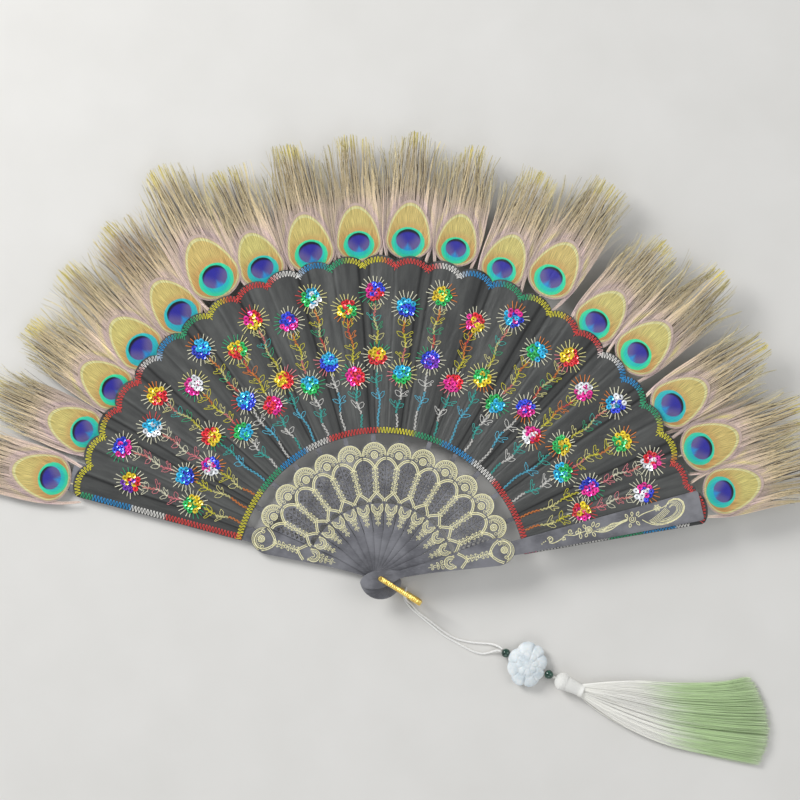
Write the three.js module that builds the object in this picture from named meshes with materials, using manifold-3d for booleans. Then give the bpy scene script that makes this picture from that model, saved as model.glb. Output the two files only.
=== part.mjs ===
// Folding feather fan, lying open and flat: fourteen moulded sticks on one rivet, a scalloped cloth
// leaf in fourteen gores, eighteen eyed feathers behind it, a ridged shackle on the rivet, and a
// looped cord with two round beads, a carved flower bead and a silk tassel.
// Millimetres. +Z is up, +Y runs up the middle of the open fan, and the rivet's axis is Z. The
// origin is the middle of the rivet's rear head, which faces down.

import * as THREE from "three";
import { mergeVertices } from "three/addons/utils/BufferGeometryUtils.js";
import Module from "manifold-3d";

const wasm = await Module();
wasm.setup();

// Clearances
const layerGap = 0.3;
const edgeGap = 0.15;
const surfaceLift = 0.05;
const cutOverrun = 1;

// Spread of the open fan, in degrees from +X
const stickCount = 14;
const stickStep = 11.45;
const backGuardAngle = 161.8;
const leafOverhang = 3.3;

// Rivet
const rivetRadius = 1;
const rivetHeadRadius = 2.6;
const rivetHeadThickness = 1.3;
const rivetClearance = 0.3;

// Shackle, a flat bar bent into a U over the whole stack
const shackleAngle = -32;
const shackleWidth = 3.5;
const shackleThickness = 1.2;
const shackleReach = 31;
const shackleBend = 2.2;
const shackleClearance = 0.1;
const ridgePitch = 1.25;
const ridgeDepth = 0.2;

// How far out the gorge plates of all the sticks reach, below the leaf
const gorgeReach = 90.3;

// Inner sticks: a pierced gorge plate with a thin slip that runs out behind the leaf
const ribThickness = 0.9;
const ribSlipThickness = 0.4;
const ribSlipWidth = 3;
const ribSlipTipWidth = 2.4;
const slipSetback = 2.5;
const headReach = 14;
const headWidth = 12.4;
const neckReach = 10;
const neckWidth = 6.2;
const medallionDepth = 8;

// Openings of the gorge: the half-round one set out from the rivet's axis, the bat-shaped one from
// the gorge's outer end, and the lattice between them
const domeInner = 49.4;
const domeOuter = 52.8;
const domeWidth = 7.3;
const batInset = 10.7;
const batLength = 5.4;
const batWidth = 8.8;
const batShoulderShares = [0.55, 0.7];
const bossRise = 0.6;
const bossWidth = 4;
const latticeInnerMargin = 3.2;
const latticeOuterMargin = 0.5;
const latticePitch = 5.8;
const latticeNear = 1.5;
const latticeFar = 3.3;
const lozengeLength = 3;
const lozengeWidth = 1.4;

// Guards: solid gorge plates, with a lower slip that widens to the leaf's edge
const guardThickness = 2.1;
const backGuardThickness = 1.8;
const guardSlipThickness = 1.2;
const guardHeadWidth = 12;
const guardHeadBack = 2;
const guardNeckReach = 13;
const guardNeckWidth = 5;
const guardWaistReach = 36;
const guardWaistWidth = 8;
const guardCrownDepth = 12.3;
const guardShoulderWidth = 18.4;
const guardSlipLap = 6.3;
const guardSlipRootWidth = 9;
const guardOverrun = 10.5;
const guardTipWidth = 20;
const guardTipCorner = 2;

// Leaf
const leafThickness = 0.25;
const leafMargin = 5.2;
const leafCusp = 205.5;
const scallopRise = 5.6;
const scallopCount = 26;
const stepsPerScallop = 5;

// Feathers: the angle of each, and its length as a share of the usual one
const featherThickness = 0.25;
const featherTuck = 5;
const featherLength = 94;
const featherGap = 0.3;
const featherAngles = [
  163.2, 153.8, 144.8, 136.3, 127.3, 118.9, 111, 102.2, 93.8,
  85.4, 77.2, 68.6, 60.5, 50, 41.3, 30.8, 22.2, 14.3,
];
const featherLengthShares = [
  1.02, 0.98, 0.97, 0.98, 0.98, 1.01, 0.98, 0.98, 0.99,
  1, 0.995, 0.98, 1.015, 0.985, 1.005, 0.995, 1.015, 1.035,
];
const outerWedge = 4.6;

// Cord, laid on the surface and looped once round the shackle's lower leg
const cordDiameter = 1.2;
const cordSides = 8;
const cordSteps = 132;

// Beads and tassel, strung in one line from the upper bead
const stringAngle = -26.5;
const upperBeadX = 82.6;
const upperBeadY = -50;
const beadRadius = 3;
const beadBore = 0.8;
const flowerRadius = 14;
const flowerNotch = 1.4;
const flowerThickness = 9;
const flowerBevel = 1.6;
const flowerPetals = 6;
const knotLength = 1.1;
const knotWidth = 1.8;
const tasselBallRadius = 5.8;
const neckLength = 8.6;
const neckBindWidth = 7.8;
const neckStartWidth = 9.6;

// Tassel skirt, straight out from the neck along its own line
const skirtAngle = -10;
const skirtLength = 125;
const skirtRootWidth = 9.4;
const skirtRootThickness = 7.6;
const skirtTipWidth = 56;
const skirtTipThickness = 4.4;

// Where the openings of the gorge and the leaf's inner edge lie
const batOuter = gorgeReach - batInset;
const batInner = batOuter - batLength;
const latticeInner = domeOuter + latticeInnerMargin;
const latticeOuter = batInner - latticeOuterMargin;
const leafInner = gorgeReach + leafMargin;

// How far out the pieces behind the leaf reach, all set out from the leaf's cusps
const featherRoot = leafCusp - featherTuck;
const slipReach = featherRoot - slipSetback;
const guardReach = leafCusp + guardOverrun;

// Levels of the stack, counted up from the surface
const lowerLegZ = rivetHeadThickness + layerGap;
const backGuardZ = lowerLegZ + shackleThickness + layerGap;
const firstRibZ = backGuardZ + backGuardThickness + layerGap;
const ribPitch = ribThickness + layerGap;
const frontGuardZ = firstRibZ + (stickCount - 2) * ribPitch;
const upperLegZ = frontGuardZ + guardThickness + layerGap;
const shackleTopZ = upperLegZ + shackleThickness;

const stickTone = { color: 0x4b4b50, roughness: 0.42, metalness: 0 };
const goldTone = { color: 0xd9a93c, roughness: 0.35, metalness: 0.6 };
const steelTone = { color: 0xa9a49a, roughness: 0.3, metalness: 1 };
const leafTone = { color: 0x3e3f3d, roughness: 0.6, metalness: 0 };
const featherTone = { color: 0x9c9468, roughness: 0.7, metalness: 0 };
const cordTone = { color: 0xf2f0ea, roughness: 0.7, metalness: 0 };
const jadeTone = { color: 0x1f4a3c, roughness: 0.12, metalness: 0 };
const frostTone = { color: 0xd5dee2, roughness: 0.45, metalness: 0 };
const silkTone = { color: 0xf2f0ea, roughness: 0.5, metalness: 0 };
const skirtTone = { color: 0xb5cfa0, roughness: 0.5, metalness: 0 };

const fan = new THREE.Group();
const radians = THREE.MathUtils.degToRad;
const point = (x, y) => new THREE.Vector2(x, y);
const polar = (reach, degrees) => {
  return point(reach * Math.cos(radians(degrees)), reach * Math.sin(radians(degrees)));
};

// Points on an elliptic arc round a centre, from one angle to another
function arc(centreX, centreY, radiusX, radiusY, from, to, steps) {
  return Array.from({ length: steps + 1 }, (_, i) => {
    const turn = radians(from + ((to - from) * i) / steps);
    return point(centreX + radiusX * Math.cos(turn), centreY + radiusY * Math.sin(turn));
  });
}

// A closed outline from its half above the X axis, listed from the outer end to the inner one
function mirrored(half) {
  const other = half.filter((p) => p.y > edgeGap / 2).map((p) => point(p.x, -p.y));
  return [...half, ...other.reverse()];
}

function plate(outline, thickness, holes = []) {
  const shape = new THREE.Shape(outline);
  shape.holes = holes.map((hole) => new THREE.Path(hole));
  return new THREE.ExtrudeGeometry(shape, { depth: thickness, bevelEnabled: false });
}

function solidOf(geometry) {
  const bare = geometry.clone();
  bare.deleteAttribute("normal");
  bare.deleteAttribute("uv");
  const merged = mergeVertices(bare, layerGap / 1000);
  return new wasm.Manifold(
    new wasm.Mesh({
      numProp: 3,
      vertProperties: new Float32Array(merged.attributes.position.array),
      triVerts: new Uint32Array(merged.index.array),
    }),
  );
}

function geometryOf(solid) {
  const mesh = solid.getMesh();
  const geometry = new THREE.BufferGeometry();
  geometry.setAttribute("position", new THREE.BufferAttribute(mesh.vertProperties, 3));
  geometry.setIndex(new THREE.BufferAttribute(mesh.triVerts, 1));
  geometry.computeVertexNormals();
  return geometry;
}

function place(name, geometry, tone, z = 0, degrees = 0) {
  const mesh = new THREE.Mesh(geometry, new THREE.MeshStandardMaterial(tone));
  mesh.name = name;
  mesh.position.z = z;
  mesh.rotation.z = radians(degrees);
  fan.add(mesh);
  return mesh;
}

const twoDigits = (number) => String(number).padStart(2, "0");

// Sticks

const halfStep = radians(stickStep / 2);
const sectorHalf = (reach) => reach * Math.tan(halfStep) - edgeGap;
const rivetHole = () => {
  const radius = rivetRadius + rivetClearance;
  return arc(0, 0, radius, radius, 360, 360 / 16, 15);
};

// Half-round hole at the gorge's inner edge, its round side outwards
function domeHole() {
  return arc(domeInner, 0, domeOuter - domeInner, domeWidth / 2, 90, -90, 6);
}

// Bat-shaped hole under the medallion, dented by the medallion's round boss
function batHole() {
  const wing = batWidth / 2;
  const shoulderX = THREE.MathUtils.lerp(batInner, batOuter, batShoulderShares[0]);
  const shoulder = wing * batShoulderShares[1];
  return [
    point(batInner, 0),
    point(shoulderX, shoulder),
    point(batOuter, wing),
    point(batOuter, bossWidth / 2),
    point(batOuter - bossRise, 0),
    point(batOuter, -bossWidth / 2),
    point(batOuter, -wing),
    point(shoulderX, -shoulder),
  ];
}

function lozenge(x, y) {
  const long = lozengeLength / 2;
  const wide = lozengeWidth / 2;
  return [point(x - long, y), point(x, y + wide), point(x + long, y), point(x, y - wide)];
}

// Two staggered columns of lozenges beside each edge, which make half an oval of lattice
function latticeHoles() {
  const rows = 1 + Math.floor((latticeOuter - latticeInner) / latticePitch);
  const rowStep = (latticeOuter - latticeInner) / Math.max(rows - 1, 1);
  const holes = [];
  for (const side of [1, -1]) {
    for (let row = 0; row < rows; row++) {
      const near = latticeInner + row * rowStep;
      holes.push(lozenge(near, side * (sectorHalf(near) - latticeNear)));
      if (row < rows - 1) {
        const far = near + rowStep / 2;
        holes.push(lozenge(far, side * (sectorHalf(far) - latticeFar)));
      }
    }
  }
  return holes;
}

// Inner stick along +X: round head behind the rivet, sector-shaped gorge, medallion and slip
function ribGeometry() {
  const medallionX = gorgeReach - medallionDepth;
  const headRadius = headWidth / 2;
  const bladeX = (neckWidth / 2 + edgeGap) / Math.tan(halfStep);
  const half = [
    ...arc(medallionX, 0, medallionDepth, sectorHalf(medallionX), 0, 90, 6),
    point(bladeX, neckWidth / 2),
    point(neckReach, neckWidth / 2),
    ...arc(headRadius - headReach, 0, headRadius, headRadius, 50, 180, 6),
  ];
  const holes = [rivetHole(), domeHole(), batHole(), ...latticeHoles()];
  const gorge = solidOf(plate(mirrored(half), ribThickness, holes));
  const slip = [
    point(medallionX, -ribSlipWidth / 2),
    point(slipReach, -ribSlipTipWidth / 2),
    point(slipReach, ribSlipTipWidth / 2),
    point(medallionX, ribSlipWidth / 2),
  ];
  return geometryOf(gorge.add(solidOf(plate(slip, ribSlipThickness))));
}

// Guard along +X, its gorge plate and its slip at their own levels
function guardGeometry(gorgeThickness, slipBase) {
  const shoulderX = gorgeReach - guardCrownDepth;
  const slipRoot = gorgeReach - guardSlipLap;
  const half = [
    ...arc(shoulderX, 0, guardCrownDepth, guardShoulderWidth / 2, 0, 90, 6),
    point(guardWaistReach, guardWaistWidth / 2),
    point(guardNeckReach, guardNeckWidth / 2),
    ...arc(-guardHeadBack, 0, headReach - guardHeadBack, guardHeadWidth / 2, 70, 180, 6),
  ];
  const gorge = solidOf(plate(mirrored(half), gorgeThickness, [rivetHole()]));
  const slip = [
    point(slipRoot, -guardSlipRootWidth / 2),
    point(guardReach - guardTipCorner, -guardTipWidth / 2),
    point(guardReach, guardTipCorner - guardTipWidth / 2),
    point(guardReach, guardTipWidth / 2 - guardTipCorner),
    point(guardReach - guardTipCorner, guardTipWidth / 2),
    point(slipRoot, guardSlipRootWidth / 2),
  ];
  const slipPlate = plate(slip, guardSlipThickness).translate(0, 0, slipBase);
  return geometryOf(gorge.add(solidOf(slipPlate)));
}

// Each stick's name, angle and the levels of what it carries
function stickPlan(index) {
  const angle = backGuardAngle - index * stickStep;
  if (index === 0) {
    const featherZ = backGuardZ + guardSlipThickness;
    return { name: "back_guard", angle, z: backGuardZ, featherZ, leafZ: featherZ + featherThickness };
  }
  if (index === stickCount - 1) {
    const leafZ = frontGuardZ + featherThickness;
    return { name: "front_guard", angle, z: frontGuardZ, featherZ: frontGuardZ, leafZ };
  }
  const z = firstRibZ + (index - 1) * ribPitch;
  const leafZ = z + ribSlipThickness;
  return { name: `rib_${twoDigits(index)}`, angle, z, featherZ: leafZ - featherThickness, leafZ };
}

const sticks = Array.from({ length: stickCount }, (_, index) => stickPlan(index));
const frontSlipBase = featherThickness + leafThickness;

function buildSticks() {
  const rib = ribGeometry();
  sticks.forEach((stick, index) => {
    let geometry = rib;
    if (index === 0) geometry = guardGeometry(backGuardThickness, 0);
    if (index === stickCount - 1) geometry = guardGeometry(guardThickness, frontSlipBase);
    place(stick.name, geometry, stickTone, stick.z, stick.angle);
  });
}

// Leaf

const leafStart = backGuardAngle + leafOverhang;
const leafEnd = backGuardAngle - (stickCount - 1) * stickStep - leafOverhang;
const scallopStep = (leafStart - leafEnd) / scallopCount;

// The leaf's outer edge: one round scallop after another between equally spaced cusps
function leafReach(degrees) {
  const along = (leafStart - degrees) / scallopStep;
  return leafCusp + scallopRise * Math.sqrt(Math.abs(Math.sin(Math.PI * along)));
}

function goreOutline(from, to) {
  const steps = Math.ceil(((from - to) / scallopStep) * stepsPerScallop);
  const angles = Array.from({ length: steps + 1 }, (_, i) => from + ((to - from) * i) / steps);
  const inner = angles.filter((_, i) => i % 2 === 0 || i === steps).reverse();
  return [
    ...angles.map((degrees) => polar(leafReach(degrees), degrees)),
    ...inner.map((degrees) => polar(leafInner, degrees)),
  ];
}

function buildLeaf() {
  sticks.forEach((stick, index) => {
    const from = index === 0 ? leafStart : stick.angle + stickStep / 2;
    const to = index === stickCount - 1 ? leafEnd : stick.angle - stickStep / 2;
    const outline = goreOutline(from, to).reverse();
    place(`leaf_gore_${twoDigits(index + 1)}`, plate(outline, leafThickness), leafTone, stick.leafZ);
  });
}

// Feathers

// Places along a feather's edge: how far out as a share of its length, and how wide as a share of
// its wedge, from the root under the leaf to the frayed tip
const vaneShares = [
  [0, 0.34],
  [0.08, 0.62],
  [0.2, 0.84],
  [0.35, 0.88],
  [0.55, 0.9],
  [0.78, 0.95],
  [0.93, 0.98],
];
const tipShares = [0.99, 0.95, 1, 0.965, 1.01, 0.965, 1, 0.95, 0.985];
const tipSpreadShare = 0.93;

function featherOutline(index) {
  const angle = featherAngles[index];
  const before = index === 0 ? angle + 2 * outerWedge : featherAngles[index - 1];
  const last = index === featherAngles.length - 1;
  const after = last ? angle - 2 * outerWedge : featherAngles[index + 1];
  const length = featherLength * featherLengthShares[index];
  const edge = (lengthShare, wedgeShare, neighbour) => {
    const reach = featherRoot + length * lengthShare;
    const trim = Math.atan(featherGap / 2 / reach) * THREE.MathUtils.RAD2DEG;
    const wedge = Math.abs(neighbour - angle) / 2 - trim;
    return polar(reach, angle + Math.sign(neighbour - angle) * wedge * wedgeShare);
  };
  const left = vaneShares.map(([out, wide]) => edge(out, wide, before));
  const right = vaneShares.map(([out, wide]) => edge(out, wide, after)).reverse();
  const tip = tipShares.map((out, i) => {
    const across = 1 - (2 * i) / (tipShares.length - 1);
    return edge(out, Math.abs(across) * tipSpreadShare, across > 0 ? before : after);
  });
  return [...left, ...tip, ...right].reverse();
}

const nearestStick = (angle) => {
  const index = Math.round((backGuardAngle - angle) / stickStep);
  return sticks[THREE.MathUtils.clamp(index, 0, stickCount - 1)];
};

function buildFeathers() {
  featherAngles.forEach((angle, index) => {
    const geometry = plate(featherOutline(index), featherThickness);
    place(`feather_${twoDigits(index + 1)}`, geometry, featherTone, nearestStick(angle).featherZ);
  });
}

// Rivet and shackle

function buildRivet() {
  const profile = [
    point(0, 0),
    point(rivetHeadRadius, 0),
    point(rivetHeadRadius, rivetHeadThickness),
    point(rivetRadius, rivetHeadThickness),
    point(rivetRadius, shackleTopZ),
    point(0, shackleTopZ),
  ];
  const turned = new THREE.LatheGeometry(profile, 20);
  place("rivet_pin", turned.rotateX(radians(90)), steelTone);
}

// Side view of the shackle, X along its legs and Y up: a U open towards the rivet, with ridges
// moulded across the upper leg
function shackleOutline() {
  const bow = shackleReach;
  const inner = shackleBend - shackleThickness;
  const bend = (x, y, radius, from) => arc(x, y, radius, radius, from, from + 90, 4);
  const inside = (x, y, from) => arc(x, y, inner, inner, from, from - 90, 4);
  const ridges = [];
  for (let x = bow - shackleBend; x > shackleWidth / 2 + ridgePitch; x -= ridgePitch) {
    ridges.push(point(x - ridgePitch / 2, shackleTopZ - ridgeDepth), point(x - ridgePitch, shackleTopZ));
  }
  return [
    point(0, lowerLegZ),
    ...bend(bow - shackleBend, lowerLegZ + shackleBend, shackleBend, -90),
    ...bend(bow - shackleBend, shackleTopZ - shackleBend, shackleBend, 0),
    ...ridges,
    point(0, shackleTopZ),
    point(0, upperLegZ),
    ...inside(bow - shackleBend, upperLegZ - inner, 90),
    ...inside(bow - shackleBend, lowerLegZ + shackleBend, 0),
    point(0, lowerLegZ + shackleThickness),
  ];
}

function disc(radius, base, thickness) {
  const round = new THREE.CylinderGeometry(radius, radius, thickness, 20);
  return solidOf(round.rotateX(radians(90)).translate(0, 0, base + thickness / 2));
}

function buildShackle() {
  const side = plate(shackleOutline(), shackleWidth);
  side.translate(0, 0, -shackleWidth / 2).rotateX(radians(90));
  const bar = solidOf(side)
    .add(disc(shackleWidth / 2, lowerLegZ, shackleThickness))
    .add(disc(shackleWidth / 2, upperLegZ, shackleThickness));
  const bore = disc(
    rivetRadius + shackleClearance,
    lowerLegZ - cutOverrun,
    shackleTopZ - lowerLegZ + 2 * cutOverrun,
  );
  place("shackle", geometryOf(bar.subtract(bore)), goldTone, 0, shackleAngle);
}

// Cord, beads and tassel

// The cord's route: out of the upper bead, along the surface to the shackle, over its lower leg,
// back under it, and home beside itself
const cordRoute = [
  [80.26, -47.41, 3.05],
  [78.2, -46, 2.6],
  [75.6, -44.9, 1.7],
  [71.9, -44, 0.9],
  [67, -43.7, 0.65],
  [58.7, -42.9, 0.65],
  [48.8, -40.3, 0.65],
  [42.1, -36.3, 0.65],
  [34.6, -30.6, 0.65],
  [23.45, -21.91, 0.65],
  [20.84, -18.71, 0.74],
  [19.5, -17.28, 0.83],
  [17.46, -15.74, 1.46],
  [16.44, -14.47, 2.94],
  [15.82, -12.16, 4.17],
  [15.77, -10.82, 5.21],
  [16.09, -8.89, 5.68],
  [16.38, -7.64, 5.28],
  [16.57, -6.84, 4.41],
  [16.62, -6.51, 3.12],
  [16.56, -6.81, 1.94],
  [16.39, -7.66, 1.03],
  [16.13, -8.83, 0.65],
  [15.68, -10.71, 0.65],
  [15.24, -11.81, 0.65],
  [15.22, -14.16, 0.65],
  [16.44, -16.28, 0.65],
  [18.48, -18.84, 0.65],
  [22, -22.35, 0.65],
  [33.6, -32, 0.65],
  [41.1, -38.1, 0.65],
  [48.2, -42.2, 0.65],
  [55.4, -46.2, 0.65],
  [62, -49.4, 0.65],
  [67.3, -50.5, 0.65],
  [71.9, -49.7, 1],
  [74.6, -48.8, 1.8],
  [77, -48.2, 2.55],
  [79.36, -48.69, 3.05],
];

function buildCord() {
  const route = new THREE.CatmullRomCurve3(
    cordRoute.map(([x, y, z]) => new THREE.Vector3(x, y, z)),
    false,
    "centripetal",
  );
  const radius = cordDiameter / 2;
  const section = new THREE.Shape(arc(0, 0, radius, radius, 0, 360 - 360 / cordSides, cordSides - 1));
  place("cord", new THREE.ExtrudeGeometry(section, { steps: cordSteps, extrudePath: route }), cordTone);
}

// Where a piece sits on the string, so far on from the upper bead
const onString = (along) => {
  const turn = radians(stringAngle);
  return point(upperBeadX + along * Math.cos(turn), upperBeadY + along * Math.sin(turn));
};

function placeOnString(name, geometry, tone, along, z) {
  const at = onString(along);
  const mesh = place(name, geometry, tone, z, stringAngle);
  mesh.position.x = at.x;
  mesh.position.y = at.y;
}

// A bored ball, its bore along X
function beadGeometry() {
  const opening = THREE.MathUtils.RAD2DEG * Math.asin(beadBore / beadRadius);
  const wall = arc(0, 0, beadRadius, beadRadius, opening - 90, 90 - opening, 10);
  return new THREE.LatheGeometry([...wall, wall[0].clone()], 16).rotateZ(radians(90));
}

// Outline of the carved flower: round petals with notches between them
function flowerOutline() {
  const perPetal = 5;
  const count = flowerPetals * perPetal;
  return Array.from({ length: count }, (_, i) => {
    const swell = Math.sqrt(Math.abs(Math.sin((Math.PI * i) / perPetal)));
    const reach = flowerRadius - flowerBevel - flowerNotch * (1 - swell);
    return polar(reach, (360 * i) / count);
  });
}

function flowerGeometry() {
  const solid = new THREE.ExtrudeGeometry(new THREE.Shape(flowerOutline()), {
    depth: flowerThickness - 2 * flowerBevel,
    bevelThickness: flowerBevel,
    bevelSize: flowerBevel,
    bevelSegments: 2,
  });
  solid.translate(0, 0, flowerBevel - flowerThickness / 2);
  const length = 2 * (flowerRadius + cutOverrun);
  const bore = new THREE.CylinderGeometry(beadBore, beadBore, length, 10).rotateZ(radians(90));
  return geometryOf(solidOf(solid).subtract(solidOf(bore)));
}

// A closed skin through sections across X. Each station gives x, y, z of its middle, then its
// half width along Y and half height along Z
function loft(stations, sides) {
  const positions = [];
  const index = [];
  for (const [x, y, z, wide, high] of stations) {
    for (const p of arc(0, 0, wide, high, 0, 360 - 360 / sides, sides - 1)) {
      positions.push(x, y + p.x, z + p.y);
    }
  }
  for (let ring = 0; ring < stations.length - 1; ring++) {
    for (let i = 0; i < sides; i++) {
      const a = ring * sides + i;
      const b = ring * sides + ((i + 1) % sides);
      index.push(a, b, a + sides, b, b + sides, a + sides);
    }
  }
  const first = (stations.length - 1) * sides;
  for (let i = 1; i < sides - 1; i++) {
    index.push(0, i + 1, i, first, first + i, first + i + 1);
  }
  const geometry = new THREE.BufferGeometry();
  geometry.setAttribute("position", new THREE.Float32BufferAttribute(positions, 3));
  geometry.setIndex(index);
  geometry.computeVertexNormals();
  return geometry;
}

// Ball of bound silk at the tassel's top, with the small knot that meets the lower bead's bore
function ballGeometry() {
  const reachShares = [0.96, 0.82, 0.55, 0.2, -0.2, -0.55, -0.82, -0.96];
  const rings = reachShares.map((share) => {
    const radius = tasselBallRadius * Math.sqrt(1 - share * share);
    return [-share * tasselBallRadius, 0, 0, radius, radius];
  });
  const knotX = layerGap - knotLength - tasselBallRadius;
  const knotZ = beadRadius - tasselBallRadius;
  return loft([[knotX, 0, knotZ, knotWidth / 2, knotWidth / 2], ...rings], 14);
}

// Bound neck, from the ball down to the binding
function neckGeometry(centreZ) {
  const bindZ = surfaceLift + neckBindWidth / 2;
  const middle = 0.5 * (neckStartWidth + neckBindWidth);
  return loft(
    [
      [0, 0, centreZ, neckStartWidth / 2, neckStartWidth / 2],
      [neckLength / 2, 0, (centreZ + bindZ) / 2, middle / 2, middle / 2],
      [neckLength, 0, bindZ, neckBindWidth / 2, neckBindWidth / 2],
    ],
    14,
  );
}

// Skirt of loose silk, which widens and flattens as it spreads over the surface
const skirtShares = [
  [0, 0, 0],
  [0.12, 0.06, 0.1],
  [0.3, 0.3, 0.3],
  [0.5, 0.56, 0.55],
  [0.72, 0.82, 0.8],
  [0.9, 0.96, 1],
  [0.97, 0.9, 1],
  [1, 0.66, 1],
];

function skirtGeometry() {
  const stations = skirtShares.map(([along, widen, flatten]) => {
    const wide = THREE.MathUtils.lerp(skirtRootWidth, skirtTipWidth, widen) / 2;
    const high = THREE.MathUtils.lerp(skirtRootThickness, skirtTipThickness, flatten) / 2;
    return [skirtLength * along, 0, surfaceLift + high, wide, high];
  });
  return loft(stations, 14);
}

function buildString() {
  const bead = beadGeometry();
  const beadZ = surfaceLift + beadRadius;
  const flowerAlong = beadRadius + layerGap + flowerRadius - flowerNotch;
  const lowerAlong = 2 * flowerAlong;
  const ballAlong = lowerAlong + beadRadius + knotLength + tasselBallRadius;
  const neckAlong = ballAlong + tasselBallRadius + layerGap;
  const ballZ = surfaceLift + tasselBallRadius;
  placeOnString("bead_upper", bead, jadeTone, 0, beadZ);
  const flowerZ = surfaceLift + flowerThickness / 2;
  placeOnString("flower_bead", flowerGeometry(), frostTone, flowerAlong, flowerZ);
  placeOnString("bead_lower", bead, jadeTone, lowerAlong, beadZ);
  placeOnString("tassel_ball", ballGeometry(), silkTone, ballAlong, ballZ);
  placeOnString("tassel_neck", neckGeometry(ballZ), silkTone, neckAlong, 0);
  const skirt = place("tassel_skirt", skirtGeometry(), skirtTone, 0, skirtAngle);
  const root = onString(neckAlong + neckLength + layerGap);
  const slant = (skirtRootWidth / 2) * Math.sin(radians(Math.abs(stringAngle - skirtAngle)));
  skirt.position.x = root.x + slant;
  skirt.position.y = root.y;
}

buildSticks();
buildLeaf();
buildFeathers();
buildRivet();
buildShackle();
buildCord();
buildString();

export default fan;
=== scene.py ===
"""Looks of the folding feather fan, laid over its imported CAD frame.

Shapes are worked out in millimetres, with +Z up and the rivet's axis on Z, and become metres when
they are made a mesh. Angles are degrees from +X, as the fan lies open.
"""

import logging
import math
from dataclasses import dataclass, field
from enum import Enum
from typing import Any, Callable

import bmesh
import bpy
import numpy as np
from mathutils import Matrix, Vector


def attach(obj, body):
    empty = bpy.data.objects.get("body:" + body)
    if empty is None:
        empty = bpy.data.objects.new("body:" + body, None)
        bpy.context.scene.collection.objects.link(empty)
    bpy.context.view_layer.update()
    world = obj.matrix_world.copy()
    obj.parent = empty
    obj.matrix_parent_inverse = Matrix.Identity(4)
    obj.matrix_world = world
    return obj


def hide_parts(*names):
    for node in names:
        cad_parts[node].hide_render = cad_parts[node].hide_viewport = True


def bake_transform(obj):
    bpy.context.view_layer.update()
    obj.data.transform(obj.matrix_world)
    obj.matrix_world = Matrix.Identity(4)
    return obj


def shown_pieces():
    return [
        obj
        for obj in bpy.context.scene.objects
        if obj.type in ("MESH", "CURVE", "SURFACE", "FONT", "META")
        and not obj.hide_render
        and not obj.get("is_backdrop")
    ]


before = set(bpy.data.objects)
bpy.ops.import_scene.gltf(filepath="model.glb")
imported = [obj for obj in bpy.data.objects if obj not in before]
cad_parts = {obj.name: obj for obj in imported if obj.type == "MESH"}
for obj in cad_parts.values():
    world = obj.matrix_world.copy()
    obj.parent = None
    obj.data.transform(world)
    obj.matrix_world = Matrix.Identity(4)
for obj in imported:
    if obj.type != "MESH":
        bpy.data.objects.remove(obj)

Array = np.ndarray
Form = tuple[Array, list[Array]]
MM = 0.001
TINY = 1e-9
WELD = 0.003
FLIP = np.array([1, -1])
log = logging.getLogger("feather_fan")


def linear(code: str) -> Array:
    """Turns a display colour into the linear one that shaders mix.

    Args:
        code: the colour as six hexadecimal digits.

    Returns:
        Red, green and blue from 0 to 1: ((c + 0.055) / 1.055) to the power 2.4, or c / 12.92 if dark.
    """
    shown = np.array([int(code[i : i + 2], 16) for i in (0, 2, 4)]) / 255
    return np.where(shown <= 0.04045, shown / 12.92, ((shown + 0.055) / 1.055) ** 2.4)


def ease(value: Array) -> Array:
    """Eases 0 to 1 with a flat start and end, t squared times (3 - 2t)."""
    t = np.clip(value, 0, 1)
    return t * t * (3 - 2 * t)


def lerp(first: Any, second: Any, share: Any) -> Any:
    """Goes from first to second by a share."""
    return first + (second - first) * share


def turned(points: Array, degrees: float) -> Array:
    """Turns points about the Z axis.

    Args:
        points: an array whose last axis is x, y and maybe z.
        degrees: anticlockwise angle.

    Returns:
        The turned points: (x cos - y sin, x sin + y cos, z).
    """
    angle = math.radians(degrees)
    made = np.array(points, float)
    made[..., 0] = points[..., 0] * math.cos(angle) - points[..., 1] * math.sin(angle)
    made[..., 1] = points[..., 0] * math.sin(angle) + points[..., 1] * math.cos(angle)
    return made


def moved(points: Array, x: float, y: float, z: float = 0) -> Array:
    """Shifts points by x, y and z."""
    return points + np.array([x, y, z])


def polar(reach: Array, degrees: Array, height: Array) -> Array:
    """Points at a reach and an angle from the rivet's axis, at a height."""
    angle = np.radians(degrees)
    x, y, z = np.broadcast_arrays(reach * np.cos(angle), reach * np.sin(angle), height)
    return np.stack([x, y, z], axis=-1)


def pair(x: Any, y: Any) -> Array:
    """Joins x and y on a last axis."""
    return np.stack(np.broadcast_arrays(x, y), axis=-1)


def reach_of(points: Array) -> Array:
    """Distance of points from the rivet's axis."""
    return np.hypot(points[..., 0], points[..., 1])


def angle_of(points: Array) -> Array:
    """Angle of points round the rivet's axis, in degrees."""
    return np.degrees(np.arctan2(points[..., 1], points[..., 0]))


def grey(tone: Array) -> Array:
    """Colour of an even tone in red, green and blue."""
    return np.repeat(tone[..., None], 3, axis=-1)


def bell(away: Array, width: float) -> Array:
    """Falls off on both sides of nothing as exp(-(away / width)^2)."""
    return np.exp(-((away / width) ** 2))


def grid_faces(rows: int, columns: int, wrap: bool) -> Array:
    """Quads of a grid of points counted row by row.

    Args:
        rows: number of rows.
        columns: points in a row.
        wrap: whether the last column joins the first.

    Returns:
        Point numbers of each quad, four to a face.
    """
    row, column = np.arange(rows - 1)[:, None], np.arange(columns if wrap else columns - 1)
    after = (column + 1) % columns
    near, far = row * columns, (row + 1) * columns
    return np.stack([near + column, near + after, far + after, far + column], axis=-1).reshape(-1, 4)


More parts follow.
